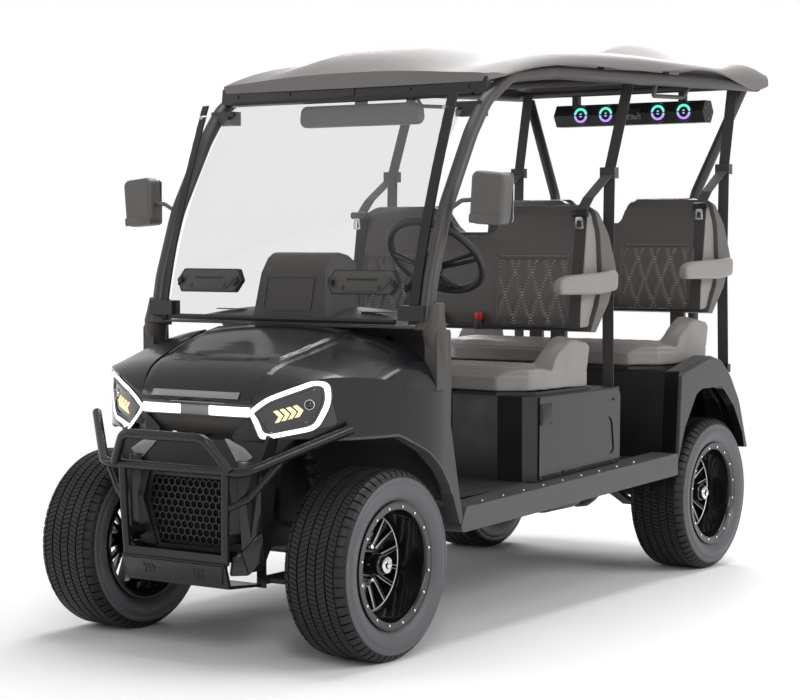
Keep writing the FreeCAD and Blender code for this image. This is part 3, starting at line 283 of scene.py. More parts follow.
@dataclass(frozen=True)
class ClearSheet:
    """Clear cast acrylic: mostly see-through, with a faint grey tint and a reflection."""

    name: str
    colour: str
    clear_share: float

    def build(self) -> Material:
        """Make the material: a thin pane doesn't bend light, so it mixes clear and gloss."""
        material = new_material(self.name)
        tree = material.node_tree
        clear = add_node(tree, "ShaderNodeBsdfTransparent", {"Color": srgb(self.colour)})
        gloss = add_node(tree, "ShaderNodeBsdfPrincipled",
                         {"Base Color": srgb(self.colour), "Roughness": 0.04})
        bend = add_node(tree, "ShaderNodeFresnel", {"IOR": 1.49}).outputs[0]
        share = add_node(tree, "ShaderNodeMapRange",
                         {0: bend, 1: 0.0, 2: 1.0, 3: 1.0 - self.clear_share, 4: 0.12}).outputs[0]
        mix = add_node(tree, "ShaderNodeMixShader",
                       {0: share, 1: clear.outputs[0], 2: gloss.outputs[0]})
        add_node(tree, "ShaderNodeOutputMaterial", {"Surface": mix.outputs[0]})
        return material


@dataclass(frozen=True)
class Glow:
    """A lit surface, such as the face of an LED light guide."""

    name: str
    colour: str
    strength: float
    second: str = ""
    span_mm: float = 30.0
    middle_mm: float = 0.0

    def build(self) -> Material:
        """Make the material. With a second colour, it changes from below to above."""
        material = new_material(self.name)
        tree = material.node_tree
        inputs = {"Base Color": srgb(self.colour), "Roughness": 0.25,
                  "Emission Color": srgb(self.colour), "Emission Strength": self.strength}
        if self.second:
            coords = add_node(tree, "ShaderNodeTexCoord", {}).outputs["Object"]
            height = add_node(tree, "ShaderNodeSeparateXYZ", {0: coords}).outputs[2]
            low = (self.middle_mm - self.span_mm / 2) * MM
            share = add_node(tree, "ShaderNodeMapRange",
                             {0: height, 1: low, 2: low + self.span_mm * MM}).outputs[0]
            tint = add_node(tree, "ShaderNodeMix",
                            {0: share, 6: srgb(self.colour), 7: srgb(self.second)},
                            data_type="RGBA").outputs[2]
            inputs["Base Color"] = tint
            inputs["Emission Color"] = tint
        shader = add_node(tree, "ShaderNodeBsdfPrincipled", inputs)
        add_node(tree, "ShaderNodeOutputMaterial", {"Surface": shader.outputs[0]})
        return material


# Each finish starts from the real material, and the comment says what that gives the eye.
FINISHES = (
    # Clear-coated metallic base coat on moulded panels: deep charcoal with a fine sparkle.
    MetallicPaint("body_paint", "#19191c", "#212226", 0.24, metallic=0.3, coat=0.5,
                  specular=0.35,
                  spot_mm=400, spot_share=0.2, smear=0.03),
    # Powder coat, sprayed and baked on steel tube: a dull pebbled grey-brown.
    Finish("tube_grey", "#413e3d", "#4c4947", 0.42, Relief.SPRAYED, 1.4, 0.10, metallic=0.15),
    # Thermoformed grained sheet of the roof: matt, with a hide-like grain.
    Finish("roof_grey", "#6f6b6a", "#797573", 0.50, Relief.HIDE, 2.2, 0.06, spot_mm=500),
    # Moulded polypropylene with a fine hide grain: dull, slightly paler on its high spots.
    Finish("trim_plastic", "#423f3d", "#4d4a47", 0.52, Relief.HIDE, 1.8, 0.06),
    # The same plastic on sills and flares, a little smoother and paler.
    Finish("sill_plastic", "#4a4849", "#555354", 0.48, Relief.HIDE, 1.8, 0.05),
    # Moulded ABS with a spark-eroded satin face.
    Finish("satin_black", "#1e1c1c", "#272423", 0.38, Relief.SPRAYED, 0.9, 0.03),
    # Moulded nylon of the mirror cases, paler than the trim.
    Finish("mirror_case", "#575553", "#615f5d", 0.44, Relief.SPRAYED, 1.4, 0.03),
    # Nearly black and dull: moulded ABS of the fascia and vents and rubber of seals, and painted
    # shade in openings: behind the grille, in the skid plate's arrows and in the vents' slots.
    Finish("deep_black", "#0c0c0c", "#131212", 0.5, Relief.SPRAYED, 1.2, 0.04),
    # Semi-gloss powder coat on the guard's steel tube.
    Finish("guard_paint", "#201d1c", "#2a2726", 0.26, Relief.SPRAYED, 1.6, 0.05, metallic=0.2),
    # Pale grey plates of painted highlight and painted reflection on the hood's front edge, the
    # fascia's shoulders and over the guard, and the light bar's blank badge in its own grey.
    Finish("highlight_and_badge_grey", "#8f9093", "#9b9c9f", 0.34, Relief.SPRAYED, 1.2, 0.02, metallic=0.2),
    # Chassis enamel, brushed and sprayed over welds: black, slightly dusty.
    Finish("frame_black", "#191818", "#2c2a28", 0.5, Relief.CAST, 5.0, 0.15, spot_mm=60),
    # Sand-cast aluminium of housings and knuckles.
    Finish("cast_grey", "#6f7071", "#55524f", 0.5, Relief.CAST, 3.0, 0.25, metallic=0.85,
           spot_mm=40),
    # Turned and zinc-plated steel of rods, nuts and bolts.
    Finish("bright_steel", "#b4b5b7", "#8c8b89", 0.28, Relief.TURNED, 0.8, 0.02, metallic=1.0,
           spot_mm=30),
    # Chrome plate on caps and lug nuts: a mirror with faint smears.
    Finish("chrome", "#d9dadb", "#bfc0c2", 0.08, metallic=1.0, spot_mm=20, smear=0.03),
    # Polypropylene battery case with a cast-like pebble.
    Finish("battery_case", "#26282a", "#303234", 0.5, Relief.SPRAYED, 2.0, 0.08),
    # Polyurethane of grips and pads.
    Finish("grip_black", "#2a2727", "#353131", 0.45, Relief.HIDE, 1.6, 0.08),
    # Natural rubber floor mat with moulded ribs.
    Finish("floor_rubber", "#2b2a29", "#3a3835", 0.6, Relief.RIBBED, 12.0, 0.9, spot_mm=80),
    # Marine vinyl on a knit backing: an embossed hide grain with a low sheen.
    Finish("seat_vinyl", "#86827f", "#908c8a", 0.36, Relief.HIDE, 2.4, 0.16, spot_mm=220,
           sheen=0.15),
    # The darker vinyl of the seat backs, of the same make.
    Finish("dark_vinyl", "#565250", "#5f5b59", 0.40, Relief.HIDE, 2.4, 0.16, spot_mm=220,
           sheen=0.12),
    # Bonded polyester thread of the quilting: pale, twisted.
    Finish("thread", "#dcd8d4", "#c8c3bf", 0.6, Relief.WOVEN, 1.2, 0.2, sheen=0.4),
    # Polyester webbing of the belts, woven in a close herringbone.
    Finish("webbing", "#33302f", "#3d3a38", 0.62, Relief.WOVEN, 2.2, 0.3, sheen=0.35),
    # Tread rubber, moulded: near black with dust in its grain.
    Finish("tyre_rubber", "#111010", "#262422", 0.5, Relief.SPRAYED, 1.6, 0.10, spot_mm=45,
           specular=0.4),
    # Sidewall rubber, smoother and with a grey bloom.
    Finish("sidewall_rubber", "#515256", "#636468", 0.46, Relief.SPRAYED, 2.2, 0.04, spot_mm=160),
    # Gloss enamel on the cast rims.
    Finish("rim_black", "#0c0c0c", "#131313", 0.22, Relief.CAST, 9.0, 0.05, coat=0.3),
    # Faces cut on a lathe through the black: bright with fine turning lines.
    Finish("machined_face", "#d6d8da", "#c0c2c5", 0.38, Relief.TURNED, 0.7, 0.02, metallic=0.5,
           spot_mm=25),
    # Polycarbonate lamp housings behind a hard-coated lens.
    Finish("lamp_housing", "#2a2928", "#343331", 0.3, coat=1.0, spot_mm=60, smear=0.04),
    Finish("lamp_lens", "#17181a", "#1e1f22", 0.14, coat=1.0, spot_mm=60, smear=0.03),
    Finish("tail_lens", "#6a0d12", "#8c1a1e", 0.12, coat=1.0, spot_mm=25, smear=0.03),
    # Acetal buckle buttons.
    Finish("buckle_red", "#d3201c", "#b81a18", 0.3, Relief.SPRAYED, 1.2, 0.02),
    # Silvered mirror glass.
    Finish("mirror_glass", "#cfd3d6", "#c3c8cc", 0.03, metallic=1.0, smear=0.01),
    # Coated display glass, switched off.
    Finish("screen_glass", "#0a0b0d", "#101114", 0.07, coat=1.0, smear=0.03),
    # Cast acrylic of the pane: almost all light passes, and a low glare lies over it.
    ClearSheet("clear_screen", "#f4f4f4", 0.997),
    # LED light guide, warm white at the middle of its range.
    Glow("lamp_glow", "#ffffff", 1.4),
    Glow("amber_glow", "#fbdcae", 0.85),
    Glow("speaker_glow", "#a77be0", 1.3, "#4fe0bd", 46.0, 1802.0),
    Glow("status_glow", "#7d63d6", 1.0),
)


# Which finish each piece of the frame wears, by the finish's name.
WORN = {
    "frame_black": ("chassis_frame", "rear_axle", "front_arms", "rear_suspension",
                    "front_dampers", "steering_column"),
    "cast_grey": ("motor_block", "knuckle_left", "knuckle_right", "steering_rack"),
    "battery_case": ("battery_block",),
    "bright_steel": ("tie_rods", "pedals"),
    "grip_black": ("steering_wheel", "front_seat_pan", "rear_seat_pan"),
    "trim_plastic": ("dash_cowl",),
    "sill_plastic": ("sills", "front_flares"),
    "floor_rubber": ("floor_pan",),
    "body_paint": ("front_cowl", "hood_panel", "seat_box_sides", "rear_fenders"),
    "lamp_lens": ("front_lamps",),
    "deep_black": ("front_grille", "front_fascia", "screen_vents"),
    "satin_black": ("display_pod", "screen_fittings", "rear_bumper", "soundbar",
                    "front_seat_box", "roof_header", "rear_body"),
    "mirror_case": ("mirrors",),
    "guard_paint": ("brush_guard",),
    "tube_grey": ("canopy_frame", "rear_struts"),
    "roof_grey": ("roof_panel",),
    "clear_screen": ("windscreen",),
    "seat_vinyl": ("front_cushion", "rear_cushion", "armrests"),
    "dark_vinyl": ("front_seat_back", "rear_seat_back", "front_seat_shell",
                   "rear_seat_shell"),
    "webbing": ("seat_belts",),
    "buckle_red": ("belt_buckles",),
    "tail_lens": ("tail_lamps",),
    "tyre_rubber": ("tyre_front_left", "tyre_front_right", "tyre_rear_left",
                    "tyre_rear_right"),
    "rim_black": ("rim_front_left", "rim_front_right", "rim_rear_left", "rim_rear_right"),
}


class Palette:
    """All finishes by name, each made once."""

    def __init__(self) -> None:
        """Build every finish of the cart."""
        self.made = {finish.name: finish.build() for finish in FINISHES}

    def __getitem__(self, name: str) -> Material:
        """The material of one finish."""
        return self.made[name]

    def dress_frame(self) -> None:
        """Put each finish on the frame's pieces that wear it."""
        for name, nodes in WORN.items():
            for node in nodes:
                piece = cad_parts.get(node)
                if piece is None:
                    continue
                piece.data.materials.clear()
                piece.data.materials.append(self.made[name])


# Studio

@dataclass
class Studio:
    """Pale floor, soft lamps and the camera that stands where the photographer stood."""

    turn_deg: float = 34.3621
    tilt_deg: float = 3.0230
    place_mm: tuple = (4101.7, -6176.2, 1278.3)
    lens_mm: float = 92.645
    sensor_mm: float = 36.0
    far_clip: float = 200.0
    shift: tuple = (-0.0031, -0.0024)
    ambient: float = 0.40
    mirrored: float = 0.36
    floor_half: float = 40.0
    fade_start: float = 1.9
    fade_end: float = 3.6
    lamps: tuple = (
        ("overhead", (0.0, 0.9, 4.6), (0.0, 0.2, 0.6), 2.6, 4.4, 170.0),
        ("front_left", (3.6, -5.4, 3.6), (0.1, -0.7, 0.8), 1.0, 3.4, 80.0),
        ("front_right", (-4.6, -4.2, 2.6), (0.0, -0.6, 0.8), 1.2, 3.2, 30.0),
        ("left_side", (5.2, 0.8, 3.2), (0.3, 0.3, 0.8), 4.4, 1.8, 120.0),
        ("behind", (-2.2, 4.6, 3.8), (0.0, 0.6, 1.0), 3.2, 1.8, 170.0),
    )

    def camera(self) -> None:
        """Stand the camera at the photograph's place and angle."""
        data = bpy.data.cameras.new("camera")
        data.lens = self.lens_mm
        data.sensor_width = self.sensor_mm
        data.shift_x, data.shift_y = self.shift
        data.clip_end = self.far_clip
        camera = new_object("camera", data)
        camera.rotation_euler = (math.pi / 2 - math.radians(self.tilt_deg), 0.0,
                                 math.radians(self.turn_deg))
        camera.location = at(*self.place_mm)
        bpy.context.scene.camera = camera

    def lights(self) -> None:
        """Hang the soft boxes, each aimed at the cart."""
        for name, place, aim, width, length, watts in self.lamps:
            data = bpy.data.lights.new(name, "AREA")
            data.shape = "RECTANGLE"
            data.size = width
            data.size_y = length
            data.energy = watts
            lamp = new_object(name, data)
            lamp.location = place
            way = Vector(aim) - Vector(place)
            lamp.rotation_euler = way.to_track_quat("-Z", "Y").to_euler()

    def seen_share(self, tree: Tree, mirrored: float = 1.0) -> Socket:
        """1 where a ray comes from the eye or a pane, and 0 for light on the cart.

        Args:
            tree: The node tree.
            mirrored: The share for what is seen in a reflection.

        Returns:
            The share.
        """
        rays = add_node(tree, "ShaderNodeLightPath", {})
        glossy = combined(tree, "MULTIPLY", rays.outputs["Is Glossy Ray"], mirrored)
        first = combined(tree, "MAXIMUM", rays.outputs["Is Camera Ray"], glossy)
        return combined(tree, "MAXIMUM", first, rays.outputs["Is Transmission Ray"])

    def world(self) -> None:
        """White all round to the eye, and a plain ambient light on the cart."""
        world = bpy.data.worlds.new("studio")
        world.use_nodes = True
        tree = world.node_tree
        tree.nodes.clear()
        strength = add_node(tree, "ShaderNodeMapRange",
                            {0: self.seen_share(tree, self.mirrored), 3: self.ambient,
                             4: 1.0}).outputs[0]
        ground = add_node(tree, "ShaderNodeBackground",
                          {"Color": (1.0, 1.0, 1.0, 1.0), "Strength": strength})
        add_node(tree, "ShaderNodeOutputWorld", {"Surface": ground.outputs[0]})
        bpy.context.scene.world = world

    def floor(self) -> None:
        """Lay the white paper sweep, which keeps the cart's soft shadow near it."""
        form = bmesh.new()
        bmesh.ops.create_grid(form, x_segments=1, y_segments=1, size=self.floor_half)
        floor = new_object("floor", mesh_of(form, "floor"))
        material = new_material("paper_sweep")
        tree = material.node_tree
        coords = add_node(tree, "ShaderNodeTexCoord", {}).outputs["Object"]
        reach = add_node(tree, "ShaderNodeVectorMath", {0: coords}, operation="LENGTH")
        far = add_node(tree, "ShaderNodeMapRange",
                       {0: reach.outputs["Value"], 1: self.fade_start, 2: self.fade_end},
                       interpolation_type="SMOOTHSTEP").outputs[0]
        share = combined(tree, "MULTIPLY", far, self.seen_share(tree))
        paper = add_node(tree, "ShaderNodeBsdfDiffuse", {"Color": (1.0, 1.0, 1.0, 1.0)})
        white = add_node(tree, "ShaderNodeEmission", {"Strength": 1.0})
        mix = add_node(tree, "ShaderNodeMixShader",
                       {0: share, 1: paper.outputs[0], 2: white.outputs[0]})
        add_node(tree, "ShaderNodeOutputMaterial", {"Surface": mix.outputs[0]})
        floor.data.materials.append(material)

    def build(self) -> None:
        """Set up everything that isn't the cart."""
        bpy.context.scene.view_settings.view_transform = "Standard"
        self.camera()
        self.lights()
        self.world()
        self.floor()


# Forms: outlines and closed shapes drawn in millimetres in the cart's drawing

def rounded(corners: list, radii: list, arc_steps: int = 5, run_steps: int = 3) -> list:
    """A closed outline with rounded corners and evenly divided straight runs.

    Args:
        corners: The corner points as pairs.
        radii: One radius for each corner.
        arc_steps: Divisions of each rounded corner.
        run_steps: Divisions of each straight run.

    Returns:
        Pairs round the outline. The count depends on the steps alone.
    """
    count = len(corners)
    arcs = []
    for i, corner in enumerate(corners):
        here = Vector(corner)
        before = (Vector(corners[i - 1]) - here)
        after = (Vector(corners[(i + 1) % count]) - here)
        reach = min(radii[i], before.length * 0.45, after.length * 0.45)
        start, end = here + before.normalized() * reach, here + after.normalized() * reach
        arcs.append([start.lerp(here, t).lerp(here.lerp(end, t), t)
                     for t in (k / arc_steps for k in range(arc_steps + 1))])
    points = []
    for i, arc in enumerate(arcs):
        points += arc
        following = arcs[(i + 1) % count][0]
        points += [arc[-1].lerp(following, k / run_steps) for k in range(1, run_steps)]
    return [tuple(point) for point in points]


def grown(corners: list, distance: float) -> list:
    """The corners of a closed outline, moved outwards by a distance.

    Args:
        corners: Corner points as pairs, counter-clockwise.
        distance: How far to move each side. A negative distance shrinks the outline.

    Returns:
        The moved corners.
    """
    moved = []
    for i, corner in enumerate(corners):
        here = Vector(corner)
        first = (here - Vector(corners[i - 1])).normalized()
        second = (Vector(corners[(i + 1) % len(corners)]) - here).normalized()
        normals = Vector((first.y, -first.x)), Vector((second.y, -second.x))
        moved.append(tuple(here + (normals[0] + normals[1])
                           * (distance / max(0.2, 1 + normals[0].dot(normals[1])))))
    return moved


def oblong(low: tuple, high: tuple, radius: float, arc_steps: int = 4,
           run_steps: int = 1) -> list:
    """A rounded rectangle between two of its corners, as pairs."""
    corners = [low, (high[0], low[1]), high, (low[0], high[1])]
    return rounded(corners, [radius] * 4, arc_steps, run_steps)


def within(outline: list, x: float, z: float) -> bool:
    """Whether a point lies within a closed outline."""
    crossings = 0
    for i, (x0, z0) in enumerate(outline):
        x1, z1 = outline[(i + 1) % len(outline)]
        if (z0 > z) != (z1 > z) and x < x0 + (z - z0) * (x1 - x0) / (z1 - z0):
            crossings += 1
    return crossings % 2 == 1


def only(made: list, kind: type) -> list:
    """The elements of one kind among those that an operation made."""
    return [element for element in made if isinstance(element, kind)]


def loop_of(form: Form, points: list) -> list:
    """Add a closed loop of edges through points.

    Args:
        form: The mesh that is drawn.
        points: Points as Vectors.

    Returns:
        The new edges.
    """
    verts = [form.verts.new(point) for point in points]
    return [form.edges.new((verts[i], verts[(i + 1) % len(verts)])) for i in range(len(verts))]


def thicken(form: Form, faces: list, way: Vector) -> list:
    """Extrude faces along a vector and keep the first ones, as a closed form.

    Args:
        form: The mesh that is drawn.
        faces: The faces to extrude.
        way: The extrusion.

    Returns:
        The faces at the far end.
    """
    made = bmesh.ops.extrude_face_region(form, geom=faces, use_keep_orig=True)["geom"]
    bmesh.ops.translate(form, vec=way, verts=only(made, Vertex))
    return only(made, Face)


def plate(form: Form, points: list, way: Vector) -> list:
    """Add a flat plate with a given outline and thickness.

    Args:
        form: The mesh that is drawn.
        points: The outline as Vectors.
        way: From the first side to the second.

    Returns:
        The faces of the second side.
    """
    face = form.faces.new([form.verts.new(point) for point in points])
    return thicken(form, [face], way)


def band(form: Form, outer: list, inner: list, way: Vector) -> list:
    """Add a flat ring between two outlines of the same count, with a thickness.

    Args:
        form: The mesh that is drawn.
        outer: The outer outline as Vectors.
        inner: The inner outline as Vectors.
        way: From the first side to the second.

    Returns:
        The faces of the second side.
    """
    edges = loop_of(form, outer) + loop_of(form, inner)
    faces = bmesh.ops.bridge_loops(form, edges=edges)["faces"]
    return thicken(form, faces, way)


def lathe(form: Form, profile: list, steps: int) -> list:
    """Turn a closed profile of (x, radius) pairs about the X axis.

    Args:
        form: The mesh that is drawn.
        profile: Pairs along the closed profile.
        steps: Divisions of the full turn.

    Returns:
        The new vertices.
    """
    old = set(form.verts)
    edges = loop_of(form, [Vector((x, 0, r)) for x, r in profile])
    verts = [vert for vert in form.verts if vert not in old]
    bmesh.ops.spin(form, geom=verts + edges, cent=(0, 0, 0), axis=(1, 0, 0),
                   angle=math.tau, steps=steps, use_merge=True)
    return [vert for vert in form.verts if vert not in old]


def bar(form: Form, points: list, radii: list, sides: int = 12,
        squash: float = 1.0) -> None:
    """Add a closed round bar along points, with its own radius at each.

    Args:
        form: The mesh that is drawn.
        points: The middle line as Vectors.
        radii: The radius at each point.
        sides: Sides of the bar.
        squash: Width of the section across its upright axis, as a share.
    """
    rings = []
    up = Vector((0, 0, 1))
    for i, point in enumerate(points):
        heading = (points[min(i + 1, len(points) - 1)] - points[max(i - 1, 0)]).normalized()
        side = heading.cross(up)
        side = side.normalized() if side.length > 0.1 else Vector((1, 0, 0))
        over = side.cross(heading)
        rings.append([point + (side * math.cos(a) * squash + over * math.sin(a)) * radii[i]
                      for a in (math.tau * k / sides for k in range(sides))])
    sleeve(form, rings)


def sleeve(form: Form, rings: list) -> None:
    """Add a closed form through rings of points, with both ends capped.

    Args:
        form: The mesh that is drawn.
        rings: Lists of as many Vectors each, from one end to the other.
    """
    loops = [loop_of(form, ring) for ring in rings]
    for first, second in zip(loops, loops[1:]):
        bmesh.ops.bridge_loops(form, edges=first + second)
    for loop in (loops[0], loops[-1]):
        bmesh.ops.edgeloop_fill(form, edges=loop)


def smooth_line(points: list, steps: int = 6) -> list:
    """Points along a smooth curve through given points.

    Args:
        points: The points that the curve passes.
        steps: Divisions between two of them.

    Returns:
        The points of the curve as Vectors.
    """
    line = []
    for i in range(len(points) - 1):
        p0, p1 = Vector(points[max(i - 1, 0)]), Vector(points[i])
        p2, p3 = Vector(points[i + 1]), Vector(points[min(i + 2, len(points) - 1)])
        for k in range(steps):
            t = k / steps
            line.append(((p1 * 2) + (p2 - p0) * t + (p0 * 2 - p1 * 5 + p2 * 4 - p3) * t ** 2
                         + (p1 * 3 - p0 - p2 * 3 + p3) * t ** 3) / 2)
    return line + [Vector(points[-1])]


def bevel(form: Form, edges: list, width: float, segments: int = 1) -> list:
    """Round edges off, and give the new faces."""
    return bmesh.ops.bevel(form, geom=edges, offset=width, offset_type="OFFSET",
                           segments=segments, profile=0.5, affect="EDGES", material=-1,
                           clamp_overlap=True)["faces"]


def round_edges(form: Form, width: float, sharp_deg: float = 35.0,
                segments: int = 2, verts: list = None) -> list:
    """Turn a form's faces outwards and round the edges where they meet at an angle.

    Args:
        form: The mesh that is drawn.
        width: Width of the rounding.
        sharp_deg: Edges sharper than this are rounded.
        segments: Divisions of the rounding.
        verts: The vertices to keep to, or all.

    Returns:
        The faces of the roundings.
    """
    allowed = set(verts) if verts is not None else set(form.verts)
    bmesh.ops.recalc_face_normals(form, faces=form.faces[:])
    form.normal_update()
    edges = [edge for edge in form.edges if len(edge.link_faces) == 2
             and edge.calc_face_angle(0.0) > math.radians(sharp_deg)
             and edge.verts[0] in allowed and edge.verts[1] in allowed]
    return bevel(form, edges, width, segments)


def mirror_too(form: Form) -> None:
    """Add the mirror image across the cart's middle."""
    made = bmesh.ops.duplicate(form, geom=form.verts[:] + form.edges[:] + form.faces[:])["geom"]
    bmesh.ops.scale(form, vec=(-1, 1, 1), verts=only(made, Vertex))
    bmesh.ops.reverse_faces(form, faces=only(made, Face))


def turned_copies(form: Form, count: int) -> None:
    """Repeat the whole form about the X axis, count times in all."""
    first = form.verts[:] + form.edges[:] + form.faces[:]
    for i in range(1, count):
        made = bmesh.ops.duplicate(form, geom=first)["geom"]
        bmesh.ops.rotate(form, cent=(0, 0, 0), matrix=Matrix.Rotation(math.tau * i / count, 3, "X"),
                         verts=only(made, Vertex))


def turned_part(profile: list, steps: int) -> Form:
    """A new form turned about the X axis, with its points on the axis merged."""
    form = bmesh.new()
    lathe(form, profile, steps)
    bmesh.ops.remove_doubles(form, verts=form.verts[:], dist=0.03)
    return form


def join(form: Form, other: Form, move: Matrix = None) -> None:
    """Put another form into a form, moved if a matrix is given, and free the other."""
    if move is not None:
        bmesh.ops.transform(other, matrix=move, verts=other.verts[:])
    mesh = mesh_of(other, "part")
    form.from_mesh(mesh)
    bpy.data.meshes.remove(mesh)


def to_frame(form: Form) -> None:
    """Move a form from the drawing's millimetres to the frame's metres."""
    bmesh.ops.transform(form, verts=form.verts[:],
                        matrix=Matrix.Translation((0, FRAME_SHIFT, 0)) @ Matrix.Scale(MM, 4))


def to_drawing(form: Form) -> None:
    """Move a form from the frame's metres to the drawing's millimetres."""
    bmesh.ops.transform(form, verts=form.verts[:], matrix=Matrix.Scale(1 / MM, 4)
                        @ Matrix.Translation((0, -FRAME_SHIFT, 0)))


def merged(node: str) -> Form:
    """A copy of a frame piece in the frame's metres, with its shared points merged."""
    form = bmesh.new()
    form.from_mesh(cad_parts[node].data)
    bmesh.ops.remove_doubles(form, verts=form.verts[:], dist=1e-5)
    return form


@dataclass
class Assembly:
    """One sub-assembly of the cart: its sizes, its pieces and their finishes."""

    palette: Palette

    def put(self, form: Form, name: str, finishes: list, body: str = "root",
            slot: str = "satin_black", sharp_deg: float = 38.0, replaces: tuple = (),
            turned: bool = True) -> Piece:
        """Make a piece of a form that is drawn in the cart's drawing.

        Args:
            form: The mesh in millimetres. It is freed.
            name: The piece's name.
            finishes: Finish names, one for each material index of the form.
            body: The body that it rides on.
            slot: A material slot's name. It is not used.
            sharp_deg: Edges sharper than this are shaded sharp.
            replaces: The frame's nodes that it stands for.
            turned: Whether the form's normals are recalculated outwards.

        Returns:
            The new object.
        """
        if turned:
            bmesh.ops.recalc_face_normals(form, faces=form.faces[:])
        to_frame(form)
        mesh = mesh_of(form, name)
        mesh.shade_smooth()
        mesh.set_sharp_from_angle(angle=math.radians(sharp_deg))
        piece = new_object(name, mesh)
        self.dress(piece, finishes, body, slot, replaces)
        return piece

    def dress(self, piece: Piece, finishes: list, body: str, slot: str,
              replaces: tuple = ()) -> None:
        """Give a piece its finishes, body and the nodes that it replaces."""
        for finish in finishes:
            piece.data.materials.append(self.palette[finish])
        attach(piece, body)
        if replaces:
            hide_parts(*replaces)
        LOG.info("%s: %d faces", piece.name, len(piece.data.polygons))

    def slab(self, name: str, loops: list, way: tuple, finish: str, rounding: float = 0.0,
             sharp_deg: float = 50.0, mirrored: bool = False, slot: str = "satin_black") -> None:
        """Make a piece of plates that ride on the root body.

        Args:
            name: The piece's name.
            loops: The outline of each plate, as Vectors.
            way: The plates' thickness as a vector.
            finish: The finish's name.
            rounding: Width of the rounded edges, or 0 for sharp ones.
            sharp_deg: Edges sharper than this are rounded.
            mirrored: Whether the mirror image is added.
            slot: A material slot's name. It is not used.
        """
        form = bmesh.new()
        for points in loops:
            plate(form, points, Vector(way))
        if rounding:
            round_edges(form, rounding, sharp_deg)
        if mirrored:
            mirror_too(form)
        self.put(form, name, [finish], "root", slot)

    def build(self) -> None:
        """Make every piece of the sub-assembly."""
        raise NotImplementedError


# Wheels

CORNERS = {"front_left": (1, -1), "front_right": (-1, -1), "rear_left": (1, 1),
           "rear_right": (-1, 1)}


